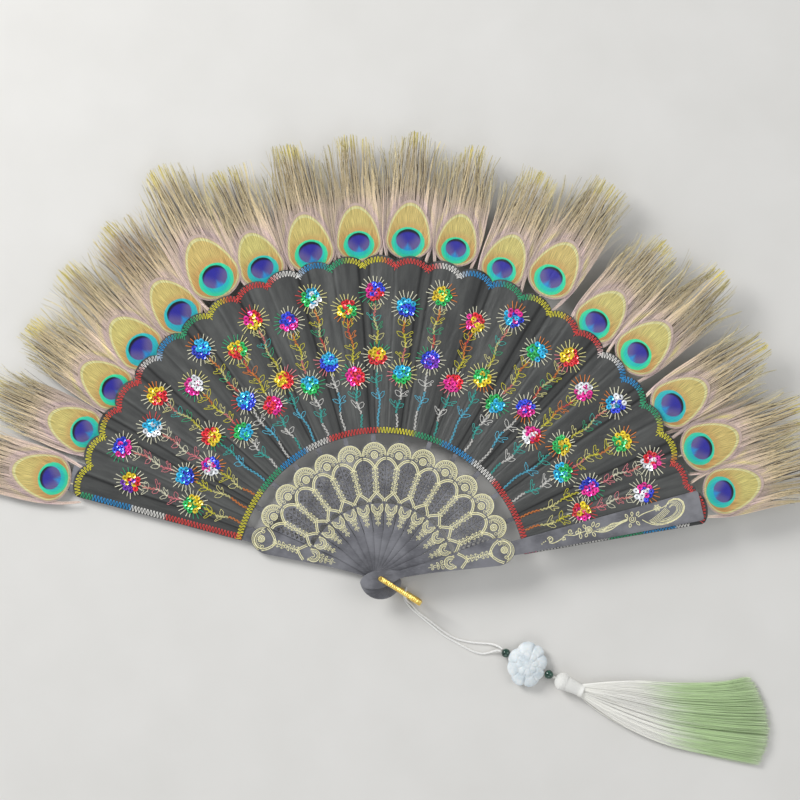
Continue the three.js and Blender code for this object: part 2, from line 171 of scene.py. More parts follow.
def tube_faces(count: int, rings: int, sides: int) -> list[Array]:
    """Faces of many closed tubes, rings of points counted tube by tube.

    Args:
        count: number of tubes.
        rings: rings along each tube.
        sides: points in each ring.

    Returns:
        The quads, the start caps and the end caps.
    """
    start = (np.arange(count) * rings * sides)[:, None, None]
    quads = (grid_faces(rings, sides, True)[None] + start).reshape(-1, 4)
    ring = np.arange(sides)
    last = (rings - 1) * sides
    return [quads, start[:, 0] + ring[::-1], start[:, 0] + last + ring]


def tubes(paths: Array, wide: Any, high: Any, sides: int) -> Form:
    """Carries an ellipse along each of many paths.

    A point of a ring is the path's point + wide cos(turn) side + high sin(turn) up, where side is
    level and across the path and up is across both.

    Args:
        paths: points as (count, rings, 3).
        wide: half width across the path, a number or an array for (count, rings).
        high: half height, likewise.
        sides: points in each ring, the first of them on top.

    Returns:
        Points as (count, rings, sides, 3) and their faces.
    """
    tangent = np.gradient(paths, axis=1)
    tangent = tangent / (np.linalg.norm(tangent, axis=-1, keepdims=True) + TINY)
    side = np.cross(np.array([0.0, 0.0, 1.0]), tangent)
    side = side / (np.linalg.norm(side, axis=-1, keepdims=True) + TINY)
    up = np.cross(tangent, side)
    turn = np.pi / 2 + 2 * np.pi * np.arange(sides) / sides
    shape = paths.shape[:2]
    reach_side = np.broadcast_to(wide, shape)[..., None, None] * np.cos(turn)[:, None]
    reach_up = np.broadcast_to(high, shape)[..., None, None] * np.sin(turn)[:, None]
    points = paths[:, :, None] + reach_side * side[:, :, None] + reach_up * up[:, :, None]
    return points, tube_faces(shape[0], shape[1], sides)


def resampled(path: Array, count: int) -> Array:
    """Spreads points evenly along a path.

    Args:
        path: points (n, 2) or (n, 3).
        count: how many points to give back.

    Returns:
        Points at equal steps of the path's length, straight between the given ones.
    """
    steps = np.linalg.norm(np.diff(path, axis=0), axis=1)
    along = np.concatenate([[0], np.cumsum(steps)])
    wanted = np.linspace(0, along[-1], count)
    return np.stack([np.interp(wanted, along, path[:, k]) for k in range(path.shape[1])], axis=-1)


def smooth_route(points: Array, steps: int) -> Array:
    """Draws the centripetal Catmull-Rom curve through points.

    Between two points the curve is a chain of blends whose knots grow by the square root of the
    distance, with an end point mirrored past each end.

    Args:
        points: the route's points (n, 2) or (n, 3).
        steps: curve points for each stretch.

    Returns:
        The curve's points, the last one included.
    """
    p = np.vstack([2 * points[0] - points[1], points, 2 * points[-1] - points[-2]])
    a, b, c, d = p[:-3], p[1:-2], p[2:-1], p[3:]
    first = np.sqrt(np.linalg.norm(b - a, axis=1))[:, None, None]
    second = first + np.sqrt(np.linalg.norm(c - b, axis=1))[:, None, None]
    third = second + np.sqrt(np.linalg.norm(d - c, axis=1))[:, None, None]
    t = first + (second - first) * (np.arange(steps) / steps)[None, :, None]
    a, b, c, d = (q[:, None] for q in (a, b, c, d))
    ab = (first - t) / first * a + t / first * b
    bc = (second - t) / (second - first) * b + (t - first) / (second - first) * c
    cd = (third - t) / (third - second) * c + (t - second) / (third - second) * d
    abc = (second - t) / second * ab + t / second * bc
    bcd = (third - t) / (third - first) * bc + (t - first) / (third - first) * cd
    curve = (second - t) / (second - first) * abc + (t - first) / (second - first) * bcd
    return np.vstack([curve.reshape(-1, points.shape[1]), points[-1:]])


class Patchwork:
    """Gathers surfaces into one mesh, with a tint and a pattern place at each point."""

    def __init__(self) -> None:
        """Starts with no surface."""
        self.points: list[Array] = []
        self.faces: list[Array] = []
        self.tints: list[Array] = []
        self.places: list[Array] = []
        self.count = 0

    def add(self, points: Array, faces: list[Array], tint: Any = (1, 1, 1), place: Any = (0, 0)) -> None:
        """Adds one surface.

        Args:
            points: its points in millimetres, last axis x, y, z.
            faces: arrays of point numbers, one array for each number of corners.
            tint: a linear colour for all of it, for each tube, for each ring or for each point.
            place: a pattern place (u, v), likewise.
        """
        stores = (self.points, points, 3), (self.tints, tint, 3), (self.places, place, 2)
        for store, value, width in stores:
            value = np.asarray(value, float)
            value = value.reshape(*value.shape[:-1], *[1] * (points.ndim - value.ndim), width)
            store.append(np.broadcast_to(value, (*points.shape[:-1], width)).reshape(-1, width))
        self.faces.extend(np.asarray(face) + self.count for face in faces)
        self.count += points.size // 3

    def piece(
        self, name: str, material: bpy.types.Material, outward: bool = False, crease: float = 40
    ) -> bpy.types.Object:
        """Makes the mesh and its object.

        Args:
            name: the piece's name.
            material: its finish.
            outward: whether the faces still have to be turned outwards.
            crease: edges bent by more degrees than this stay sharp.

        Returns:
            The object, at the origin.
        """
        loops = np.concatenate([face.ravel() for face in self.faces]).astype(np.int32)
        sizes = np.concatenate([np.full(len(face), face.shape[1]) for face in self.faces])
        mesh = bpy.data.meshes.new(name)
        mesh.vertices.add(self.count)
        mesh.vertices.foreach_set("co", (np.concatenate(self.points) * MM).astype(np.float32).ravel())
        mesh.loops.add(len(loops))
        mesh.loops.foreach_set("vertex_index", loops)
        mesh.polygons.add(len(sizes))
        starts = np.concatenate([[0], np.cumsum(sizes)[:-1]]).astype(np.int32)
        mesh.polygons.foreach_set("loop_start", starts)
        mesh.update(calc_edges=True)
        places = np.concatenate(self.places)[loops].astype(np.float32)
        mesh.uv_layers.new(name="pattern").data.foreach_set("uv", places.ravel())
        tints = np.concatenate(self.tints)
        tints = np.concatenate([tints, np.ones((len(tints), 1))], axis=1).astype(np.float32)
        carried = mesh.color_attributes.new("tint", "FLOAT_COLOR", "POINT")
        carried.data.foreach_set("color", tints.ravel())
        if outward:
            face_outward(mesh)
        mesh.shade_smooth()
        mesh.set_sharp_from_angle(angle=math.radians(crease))
        mesh.materials.append(material)
        made = bpy.data.objects.new(name, mesh)
        bpy.context.scene.collection.objects.link(made)
        return made


def face_outward(mesh: bpy.types.Mesh, weld: float = 0) -> None:
    """Turns the faces of a mesh's closed shells outwards, once points nearer than weld are merged.

    Args:
        mesh: closed shells.
        weld: distance below which two points count as one, or nothing.
    """
    form = bmesh.new()
    form.from_mesh(mesh)
    if weld:
        bmesh.ops.remove_doubles(form, verts=form.verts, dist=weld)
    bmesh.ops.recalc_face_normals(form, faces=form.faces)
    form.to_mesh(mesh)
    form.free()


def hold(piece: bpy.types.Object, body: str, slot: str, *nodes: str) -> None:
    """Lets a piece ride on a body, in place of its CAD nodes if it has any.

    Args:
        piece: the finished object.
        body: name of the body.
        slot: not used.
        nodes: names of the CAD nodes.
    """
    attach(piece, body)
    if nodes:
        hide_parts(*nodes)


class Signal:
    """One output of a material's node, with the operators that its maths uses."""

    def __init__(self, recipe: "Recipe", socket: bpy.types.NodeSocket) -> None:
        """Wraps a socket of a recipe's tree."""
        self.recipe = recipe
        self.socket = socket

    def maths(self, operation: str, *others: Any) -> "Signal":
        """Adds a Math node of an operation on this signal and others."""
        inputs = dict(enumerate((self, *others)))
        return self.recipe.node("ShaderNodeMath", {"operation": operation}, inputs)

    def __add__(self, other: Any) -> "Signal":
        """Sum."""
        return self.maths("ADD", other)

    __radd__ = __add__

    def __mul__(self, other: Any) -> "Signal":
        """Product."""
        return self.maths("MULTIPLY", other)

    __rmul__ = __mul__

    def __sub__(self, other: Any) -> "Signal":
        """Difference."""
        return self.maths("SUBTRACT", other)

    def __rsub__(self, other: float) -> "Signal":
        """Difference from a number."""
        return self.maths("MULTIPLY_ADD", -1.0, other)

    def __truediv__(self, other: Any) -> "Signal":
        """Quotient."""
        return self.maths("DIVIDE", other)

    def __gt__(self, other: Any) -> "Signal":
        """One where this signal is the larger, and nothing elsewhere."""
        return self.maths("GREATER_THAN", other)

    def root(self) -> "Signal":
        """Square root."""
        return self.maths("SQRT")

    def size(self) -> "Signal":
        """Value without its sign."""
        return self.maths("ABSOLUTE")

    def wave(self) -> "Signal":
        """Sine, from -1 to 1."""
        return self.maths("SINE")

    def step(self, low: float, high: float) -> "Signal":
        """Eased from 0 at low to 1 at high."""
        settings = {"interpolation_type": "SMOOTHSTEP"}
        return self.recipe.node("ShaderNodeMapRange", settings, {0: self, 1: low, 2: high})


class Recipe:
    """Builds the nodes of one finish."""

    def __init__(self, name: str) -> None:
        """Starts an empty material of a name.

        Args:
            name: the finish's name.
        """
        self.material = bpy.data.materials.new(name)
        self.material.use_nodes = True
        self.tree = self.material.node_tree
        self.tree.nodes.clear()

    def node(self, kind: str, settings: Any = None, inputs: Any = None, output: Any = 0) -> Signal:
        """Adds a node.

        Args:
            kind: its type.
            settings: its own settings, which are set first.
            inputs: values, colour codes or signals, by the number or name of their socket.
            output: number or name of the output to give back.

        Returns:
            The output as a signal.
        """
        made = self.tree.nodes.new(kind)
        for key, value in (settings or {}).items():
            setattr(made, key, value)
        for key, value in (inputs or {}).items():
            socket = made.inputs[key]
            if isinstance(value, Signal):
                self.tree.links.new(value.socket, socket)
            elif socket.type == "RGBA":
                socket.default_value = (*linear(value), 1.0)
            else:
                socket.default_value = value
        return Signal(self, made.outputs[output])

    def mix(self, share: Any, first: Any, second: Any, blend: str = "MIX") -> Signal:
        """Mixes two colours by a share, plainly or with a blend such as MULTIPLY."""
        settings = {"data_type": "RGBA", "blend_type": blend}
        return self.node("ShaderNodeMix", settings, {0: share, 6: first, 7: second}, 2)

    def object_place(self) -> Signal:
        """Place in the fan's own coordinates, in metres."""
        return self.node("ShaderNodeTexCoord", output="Object")

    def pattern_place(self) -> Signal:
        """Place in the piece's own pattern."""
        return self.node("ShaderNodeUVMap", {"uv_map": "pattern"})

    def axes(self, place: Signal) -> tuple[Signal, Signal, Signal]:
        """Splits a place into its x, y and z."""
        split = self.node("ShaderNodeSeparateXYZ", inputs={0: place})
        return tuple(Signal(self, socket) for socket in split.socket.node.outputs)

    def stretch(self, place: Signal, scale: tuple[float, float, float], degrees: float = 0) -> Signal:
        """Scales a place along its axes, after a turn about Z."""
        turn = (0, 0, math.radians(degrees))
        return self.node("ShaderNodeMapping", inputs={0: place, "Rotation": turn, "Scale": scale})

    def noise(self, place: Signal, scale: float, detail: float = 3) -> Signal:
        """Soft noise from 0 to 1."""
        inputs = {"Vector": place, "Scale": scale, "Detail": detail}
        return self.node("ShaderNodeTexNoise", inputs=inputs)

    def tint(self) -> Signal:
        """Colour that the mesh carries at its points."""
        return self.node("ShaderNodeAttribute", {"attribute_name": "tint"})

    def finish(
        self, colour: Any, roughness: Any, relief: Any = None, depth: float = 0, **others: Any
    ) -> bpy.types.Material:
        """Ends the material in a Principled shader.

        Args:
            colour: base colour.
            roughness: from 0 to 1.
            relief: height of the fine relief.
            depth: metres that the relief is deep where its height is 1.
            others: the shader's other sockets, coat_weight for Coat Weight.

        Returns:
            The material.
        """
        inputs = {"Base Color": colour, "Roughness": roughness}
        if relief is not None:
            bump = {"Strength": 1, "Distance": depth, "Height": relief}
            inputs["Normal"] = self.node("ShaderNodeBump", inputs=bump)
        for name, value in others.items():
            inputs[" ".join(word[0].upper() + word[1:] for word in name.split("_"))] = value
        shader = self.node("ShaderNodeBsdfPrincipled", inputs=inputs)
        end = self.tree.nodes.new("ShaderNodeOutputMaterial")
        self.tree.links.new(shader.socket, end.inputs["Surface"])
        return self.material


@dataclass(frozen=True)
class MouldedPlastic:
    """Satin dark grey plastic of the sticks, finely grained along their length."""

    dark: str = "55555A"
    light: str = "7B7B80"
    scuffed: str = "8E8D93"

    def material(self) -> bpy.types.Material:
        """Mottles the grey, and adds grain and faint scuffs to gloss and relief.

        Returns:
            The material.
        """
        r = Recipe("stick_plastic")
        place = r.object_place()
        cloud = r.noise(place, 70)
        grain = r.noise(place, 2600, 2)
        scuff = r.noise(r.stretch(place, (1, 6, 1), 40), 380, 4).step(0.52, 0.72)
        colour = r.mix(cloud.step(0.3, 0.7), self.dark, self.light)
        colour = r.mix(scuff * 0.3, colour, self.scuffed)
        return r.finish(
            colour, 0.32 + 0.1 * cloud + 0.1 * scuff, grain + 0.4 * scuff, 0.00004,
            coat_weight=0.3, coat_roughness=0.25,
        )


@dataclass(frozen=True)
class GoldPrint:
    """Pale gold ink hot-pressed on the plastic, a little worn."""

    ink: str = "F3EEC2"
    shade: str = "DCD49A"
    rubbed: str = "8D8870"

    def material(self) -> bpy.types.Material:
        """Mixes pale and deeper gold by a fine noise, and thins the ink in specks.

        Returns:
            The material.
        """
        r = Recipe("gold_print")
        place = r.object_place()
        fleck = r.noise(place, 900, 3)
        worn = r.noise(place, 2300, 2).step(0.62, 0.75)
        colour = r.mix(fleck.step(0.35, 0.7), self.ink, self.shade)
        colour = r.mix(worn * 0.4, colour, self.rubbed)
        return r.finish(colour, 0.34 + 0.2 * fleck, fleck, 0.00003, metallic=0.05)


@dataclass(frozen=True)
class BrushedGold:
    """Yellow gold plate of the shackle, burnished on its ridges."""

    bright: str = "FBDC7C"
    deep: str = "D9A945"

    def material(self) -> bpy.types.Material:
        """Deepens the gold in patches, with fine scratches across it.

        Returns:
            The material.
        """
        r = Recipe("shackle_gold")
        place = r.object_place()
        patch = r.noise(place, 420, 3)
        scratch = r.noise(r.stretch(place, (1, 14, 1), 58), 900, 3)
        colour = r.mix(patch.step(0.35, 0.75), self.bright, self.deep)
        return r.finish(colour, 0.2 + 0.2 * scratch, scratch, 0.00003, metallic=0.7)


@dataclass(frozen=True)
class RivetBrass:
    """Gold-washed brass of the rivet, turned on a lathe."""

    brass: str = "F2D27A"
    tarnish: str = "C99B43"
    ring_pitch: float = 9000

    def material(self) -> bpy.types.Material:
        """Draws turning rings round the axis and dulls the brass in patches.

        Returns:
            The material.
        """
        r = Recipe("rivet_metal")
        place = r.object_place()
        x, y, _ = r.axes(place)
        rings = ((x * x + y * y).root() * self.ring_pitch).wave()
        dull = r.noise(place, 500, 3)
        colour = r.mix(dull, self.brass, self.tarnish)
        return r.finish(colour, 0.25 + 0.25 * dull, rings, 0.00001, metallic=1.0)


@dataclass(frozen=True)
class TwistedCotton:
    """White cord of twisted cotton. Its pattern place is (along in turns, round in turns)."""

    white: str = "FCFBF8"
    # painted shade in the grooves between the plies
    groove: str = "F1EFEA"
    fuzz: str = "F4F2EC"
    turn: float = 6.2832
    three_turns: float = 18.85

    def material(self) -> bpy.types.Material:
        """Paints shade into the grooves between the plies, which wind round as they go along.

        Returns:
            The material.
        """
        r = Recipe("cord_white")
        along, around, _ = r.axes(r.pattern_place())
        ply = (along * self.turn + around * self.three_turns).wave()
        fuzz = r.noise(r.object_place(), 6000, 2)
        # painted shade: the groove colour where the ply wave is low, white on the plies
        colour = r.mix(ply.step(-1.0, -0.2), self.groove, self.white)
        return r.finish(
            r.mix(fuzz * 0.1, colour, self.fuzz), 0.75 + 0.1 * fuzz, ply + 0.3 * fuzz, 0.00004,
            sheen_weight=0.3,
        )


@dataclass(frozen=True)
class DarkJade:
    """Polished dark green stone of the round beads."""

    green: str = "1F4A3C"
    deep: str = "0F2C24"
    veined: str = "3E7A62"

    def material(self) -> bpy.types.Material:
        """Clouds the green with darker veins under a clear polish.

        Returns:
            The material.
        """
        r = Recipe("jade")
        place = r.object_place()
        cloud = r.noise(place, 420, 5)
        vein = r.noise(place, 900, 6).step(0.55, 0.62)
        colour = r.mix(cloud.step(0.35, 0.65), self.green, self.deep)
        colour = r.mix(vein * 0.5, colour, self.veined)
        return r.finish(
            colour, 0.1 + 0.08 * vein,
            coat_weight=0.6, coat_roughness=0.04,
            subsurface_weight=0.1, subsurface_radius=(0.0006, 0.0012, 0.0009),
        )


@dataclass(frozen=True)
class FrostedStone:
    """Blue-white frosted stone of the carved flower bead."""

    pale: str = "E6EBEC"
    deep: str = "CBD5DA"

    def material(self) -> bpy.types.Material:
        """Carries milky clouds in a translucent body with a ground, matt skin, and multiplies in the
        painted groove shade that the mesh carries.

        Returns:
            The material.
        """
        r = Recipe("frosted_flower")
        place = r.object_place()
        cloud = r.noise(place, 160, 5)
        ground = r.noise(place, 5200, 2)
        colour = r.mix(cloud.step(0.35, 0.7), self.pale, self.deep)
        return r.finish(
            # the tint is painted shade in the carving's grooves
            r.mix(1.0, colour, r.tint(), "MULTIPLY"), 0.42 + 0.2 * cloud, ground, 0.00004,
            subsurface_weight=0.35, subsurface_radius=(0.0025, 0.003, 0.0035),
            coat_weight=0.1, coat_roughness=0.3,
        )


@dataclass(frozen=True)
class TasselSilk:
    """Silk yarn of the tassel, whose tint runs from white to green."""

    shade: str = "B9B6A2"

    def material(self) -> bpy.types.Material:
        """Takes the mesh's tint and varies it from yarn to yarn, with a soft sheen.

        Returns:
            The material.
        """
        r = Recipe("tassel_silk")
        along, yarn, _ = r.axes(r.pattern_place())
        strand = r.noise(r.stretch(r.pattern_place(), (0.6, 60, 1)), 9, 2)
        twist = (along * 900.0 + yarn * 40.0).wave()
        colour = r.mix(0.3 * strand, r.tint(), self.shade, "MULTIPLY")
        return r.finish(
            colour, 0.42 + 0.2 * strand, twist, 0.00002, sheen_weight=0.4, sheen_roughness=0.35,
        )


@dataclass
class Studio:
    """Pale floor, soft lamps, each with its place, side and power, and the camera above the fan."""

    look_x: float = 12.5
    look_y: float = 117.5
    level: float = 10
    distance: float = 2600
    frame_width: float = 528
    sensor: float = 36
    floor_side: float = 9000
    floor_drop: float = 0.1
    clip_end: float = 20
    lamps: tuple[tuple[str, tuple[float, float, float], float, float], ...] = (
        ("key_lamp", (-1.1, 1.0, 1.0), 0.7, 23),
        ("fill_lamp", (1.15, 0.1, 1.2), 1.2, 6),
        ("front_lamp", (-0.1, -1.25, 1.0), 1.1, 5),
    )
    sky_colour: tuple[float, ...] = (0.93, 0.96, 1.0, 1.0)
    sky_strength: float = 0.42
    floor_light: str = "DEDCD8"
    floor_dark: str = "D3D1CC"

    def build(self) -> None:
        """Makes the camera, the floor and the lamps."""
        self.build_camera()
        self.build_floor()
        self.build_lamps()

    def build_camera(self) -> None:
        """Sets the camera over the photograph's middle, looking down with +Y at the top."""
        data = bpy.data.cameras.new("camera")
        data.lens = self.sensor * self.distance / self.frame_width
        data.sensor_width = self.sensor
        data.clip_end = self.clip_end
        camera = bpy.data.objects.new("camera", data)
        camera.location = (self.look_x * MM, self.look_y * MM, (self.level + self.distance) * MM)
        bpy.context.scene.collection.objects.link(camera)
        bpy.context.scene.camera = camera

    def build_floor(self) -> None:
        """Lays one plain pale square under everything."""
        half = self.floor_side / 2
        corners = np.array([[-half, -half, 0], [half, -half, 0], [half, half, 0], [-half, half, 0]])
        sheet = Patchwork()
        sheet.add(moved(corners, 0, 0, -self.floor_drop), [np.arange(4)[None]])
        r = Recipe("pale_floor")
        speck = r.noise(r.object_place(), 18, 4)
        colour = r.mix(speck, self.floor_light, self.floor_dark)
        sheet.piece("floor", r.finish(colour, 0.85))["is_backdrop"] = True

    def build_lamps(self) -> None:
        """Hangs three soft lamps and sets a gentle even sky."""
        for name, place, side, power in self.lamps:
            data = bpy.data.lights.new(name, "AREA")
            data.shape = "SQUARE"
            data.size = side
            data.energy = power
            lamp = bpy.data.objects.new(name, data)
            lamp.location = place
            aim = np.array([self.look_x * MM, self.look_y * MM, 0]) - np.array(place)
            lamp.rotation_mode = "QUATERNION"
            lamp.rotation_quaternion = Vector(aim).to_track_quat("-Z", "Y")
            bpy.context.scene.collection.objects.link(lamp)
        world = bpy.data.worlds.new("studio_sky")
        world.use_nodes = True
        sky = world.node_tree.nodes["Background"]
        sky.inputs["Color"].default_value = self.sky_colour
        sky.inputs["Strength"].default_value = self.sky_strength
        bpy.context.scene.world = world
        bpy.context.scene.view_settings.view_transform = "Standard"


@dataclass
class TasselCord:
    """Limp white cord, doubled from the upper bead to the shackle's lower leg and back.

    Its route is the places that its middle runs through, from the bead to the shackle and back.
    """

    diameter: float = 1.2
    length: float = 172.3
    sides: int = 12
    steps: int = 14
    ply_depth: float = 0.05
    twist_pitch: float = 2.6
    plies: int = 3
    route: tuple[tuple[float, float, float], ...] = (
        (80.26, -47.41, 3.05), (78.2, -46, 2.6), (75.6, -44.9, 1.7), (71.9, -44, 0.9),
        (67, -43.7, 0.65), (58.7, -42.9, 0.65), (48.8, -40.3, 0.65), (42.1, -36.3, 0.65),
        (34.6, -30.6, 0.65), (23.45, -21.91, 0.65), (20.84, -18.71, 0.74), (19.5, -17.28, 0.83),
        (17.46, -15.74, 1.46), (16.44, -14.47, 2.94), (15.82, -12.16, 4.17), (15.77, -10.82, 5.21),
        (16.09, -8.89, 5.68), (16.38, -7.64, 5.28), (16.57, -6.84, 4.41), (16.62, -6.51, 3.12),
        (16.56, -6.81, 1.94), (16.39, -7.66, 1.03), (16.13, -8.83, 0.65), (15.68, -10.71, 0.65),
        (15.24, -11.81, 0.65), (15.22, -14.16, 0.65), (16.44, -16.28, 0.65), (18.48, -18.84, 0.65),
        (22, -22.35, 0.65), (33.6, -32, 0.65), (41.1, -38.1, 0.65), (48.2, -42.2, 0.65),
        (55.4, -46.2, 0.65), (62, -49.4, 0.65), (67.3, -50.5, 0.65), (71.9, -49.7, 1),
        (74.6, -48.8, 1.8), (77, -48.2, 2.55), (79.36, -48.69, 3.05),
    )

    def build(self, finish: bpy.types.Material) -> None:
        """Winds three plies round the route: the radius swells with cos(plies x (turn - twist)).

        Args:
            finish: of the cord.
        """
        route = smooth_route(np.array(self.route), self.steps)
        path = resampled(route, len(route))[None]
        radius = self.diameter / 2
        points, faces = tubes(path, radius, radius, self.sides)
        along = np.linspace(0, self.length / self.twist_pitch, path.shape[1])[None, :, None]
        around = np.arange(self.sides)[None, None, :] / self.sides
        swell = 1 - self.ply_depth * (0.5 - 0.5 * np.cos(2 * np.pi * (self.plies * around + along)))
        points = path[:, :, None] + (points - path[:, :, None]) * swell[..., None]
        sheet = Patchwork()
        sheet.add(points, faces, place=pair(along, around))
        cord = sheet.piece("tassel_cord", finish)
        hold(cord, "tassel", "cord_white", "cord")


def turned_body(x: Array, radius: Array, sides: int) -> Array:
    """Body of revolution along +X: (x, radius cos(turn), radius sin(turn)), one row for each x.

    Args:
        x: places along the axis.
        radius: radius at each place, or at each point.
        sides: points round the axis.

    Returns:
        The grid of points.
    """
    turn = np.linspace(0, 2 * np.pi, sides, endpoint=False)
    radius = np.broadcast_to(radius.reshape(len(x), -1), (len(x), sides))
    x = np.broadcast_to(x[:, None], radius.shape)
    return np.stack([x, radius * np.cos(turn), radius * np.sin(turn)], axis=-1)


@dataclass
class BeadString:
    """Round jade beads and the carved flower, strung in one line from the upper bead.

    A lobe of the flower has its angle, its reach and its radius, a dent its angle and depth.
    """

    string_angle: float = -26.5
    start_x: float = 82.6
    start_y: float = -50
    bead_radius: float = 3
    bore_radius: float = 0.8
    mouth_flare: float = 1.35
    bore_share: float = 0.97
    facets: int = 40
    arc_rows: int = 26
    lift: float = 0.05
    flower_along: float = 15.9
    flower_half: float = 4.5
    flower_columns: int = 180
    flower_rows: int = 34
    lobes: tuple[tuple[float, float, float], ...] = (
        (88, 14.9, 7.4), (50, 14.4, 6.4), (12, 13.2, 6), (-42, 13, 6.4), (-84, 15.2, 7), (-118, 15.4, 6.6),
        (-160, 13.8, 7), (150, 13.6, 7),
    )
    waist: float = 12.2
    carving: float = 0.42
    dents: tuple[tuple[float, float], ...] = ((68, 0.7), (-101, 0.9), (-20, 1.1), (31, 0.8))

    def placed(self, points: Array, along: float, height: float) -> Array:
        """Lays points made along +X on the string, so far from the upper bead.

        Args:
            points: points round the origin.
            along: distance from the upper bead's middle.
            height: level of the piece's middle.

        Returns:
            The points on the string.
        """
        angle = math.radians(self.string_angle)
        x = self.start_x + along * math.cos(angle)
        y = self.start_y + along * math.sin(angle)
        return moved(turned(points, self.string_angle), x, y, height)

    def build(self, stone: bpy.types.Material, frost: bpy.types.Material) -> None:
        """Makes the two round beads and the flower bead.

        Args:
            stone: finish of the round beads.
            frost: finish of the flower bead.
        """
        for name, along in (("bead_upper", 0), ("bead_lower", 2 * self.flower_along)):
            sheet = Patchwork()
            points, faces = self.round_bead()
            sheet.add(self.placed(points, along, self.lift + self.bead_radius), faces)
            hold(sheet.piece(f"{name}_stone", stone, outward=True), "tassel", "jade", name)
        sheet = Patchwork()
        points, faces, tint = self.flower()
        sheet.add(self.placed(points, self.flower_along, self.lift + self.flower_half), faces, tint)
        flower = sheet.piece("flower_bead_stone", frost, outward=True, crease=70)
        hold(flower, "tassel", "frosted_flower", "flower_bead")

    def round_bead(self) -> Form:
        """Bored ball along +X, with a small flat round each mouth of the bore.

        The profile is an arc from one mouth to the other, then the bore's wall back inside, carried
        round the X axis.

        Returns:
            Points and faces.
        """
        rim, sides = self.bore_radius / self.bead_radius, self.facets
        mouth = math.asin(rim * self.mouth_flare)
        turn = np.linspace(mouth, np.pi - mouth, self.arc_rows)
        end = np.cos(turn[-1:]) * self.bore_share
        x = np.concatenate([np.cos(turn), end, -end])
        r = np.concatenate([np.sin(turn), [rim], [rim]])
        grid = turned_body(x, r, sides) * self.bead_radius
        return grid, [grid_faces(len(x) + 1, sides, True) % (len(x) * sides)]

    def flower_edge(self, turn: Array) -> Array:
        """Outline of the carved flower: the farthest of its round lobes at each turn.

        A lobe of radius q whose middle is d out is reached at d cos(a) + sqrt(q^2 - d^2 sin(a)^2).

        Args:
            turn: angles in radians, in the photograph's own directions.

        Returns:
            The reach at each angle.
        """
        reach = np.full(turn.shape, self.waist)
        for degrees, tip, round_ in self.lobes:
            away = turn - math.radians(degrees)
            middle = tip - round_
            inside = round_**2 - (middle * np.sin(away)) ** 2
            lobe = middle * np.cos(away) + np.sqrt(np.maximum(inside, 0))
            reach = np.maximum(reach, np.where(inside > 0, lobe, 0))
        for degrees, depth in self.dents:
            away = np.angle(np.exp(1j * (turn - math.radians(degrees))))
            reach = reach - depth * bell(away, 0.07)
        return reach

    def flower(self) -> tuple[Array, list[Array], Array]:
        """Carved flower bead, domed on both faces.

        Height is half thickness x (1 - share^3)^0.5, less grooves between the outer petals and
        round an inner ring of petals. The tint is painted shade, darker in the grooves.

        Returns:
            Points, faces, and tints of painted shade in the grooves.
        """
        turn = np.linspace(0, 2 * np.pi, self.flower_columns, endpoint=False)
        share = np.sin(np.linspace(0.02, np.pi / 2, self.flower_rows))[:, None]
        edge = self.flower_edge(turn)[None]
        lobe_turns = np.radians([lobe[0] for lobe in self.lobes])
        away = np.abs(np.angle(np.exp(1j * (turn[:, None] - lobe_turns[None]))))
        nearest = np.sort(away, axis=1)
        groove = bell(nearest[:, 1] - nearest[:, 0], 0.1)[None]
        inner = 0.5 + 0.5 * np.cos(len(self.lobes) * turn)[None]
        ring_share = share / (0.52 + 0.06 * inner)
        outer_cut = groove * ease((share - 0.5) / 0.2) * 0.34
        ring_cut = bell(ring_share - 1, 0.09) * 0.26
        spoke_end = 1 - ease((ring_share - 0.85) / 0.15)
        spoke_cut = (1 - inner) ** 6 * ease((share - 0.2) / 0.1) * spoke_end * 0.2
        heart_cut = bell(share - 0.2, 0.04) * 0.16
        cut = self.carving * (outer_cut + ring_cut + spoke_cut + heart_cut)
        dome = np.sqrt(np.clip(1 - share**3, 0, 1)) * (0.86 + 0.14 * np.cos(np.pi * share))
        height = self.flower_half * np.clip(dome - cut * np.sqrt(np.clip(1 - share**4, 0, 1)), 0, None)
        reach = edge * share
        top = np.stack([reach * np.cos(turn), reach * np.sin(turn), height], axis=-1)
        top = turned(top, -self.string_angle)
        under = top[:-1][::-1] * np.array([1, 1, -1])
        points = np.concatenate([top, under])
        # painted shade: the tint darker where the carving cuts in
        tone = 1 - 0.16 * np.clip(np.concatenate([cut, cut[:-1][::-1]]) / 0.3, 0, 1)
        return points, tube_faces(1, len(points), self.flower_columns), grey(tone)


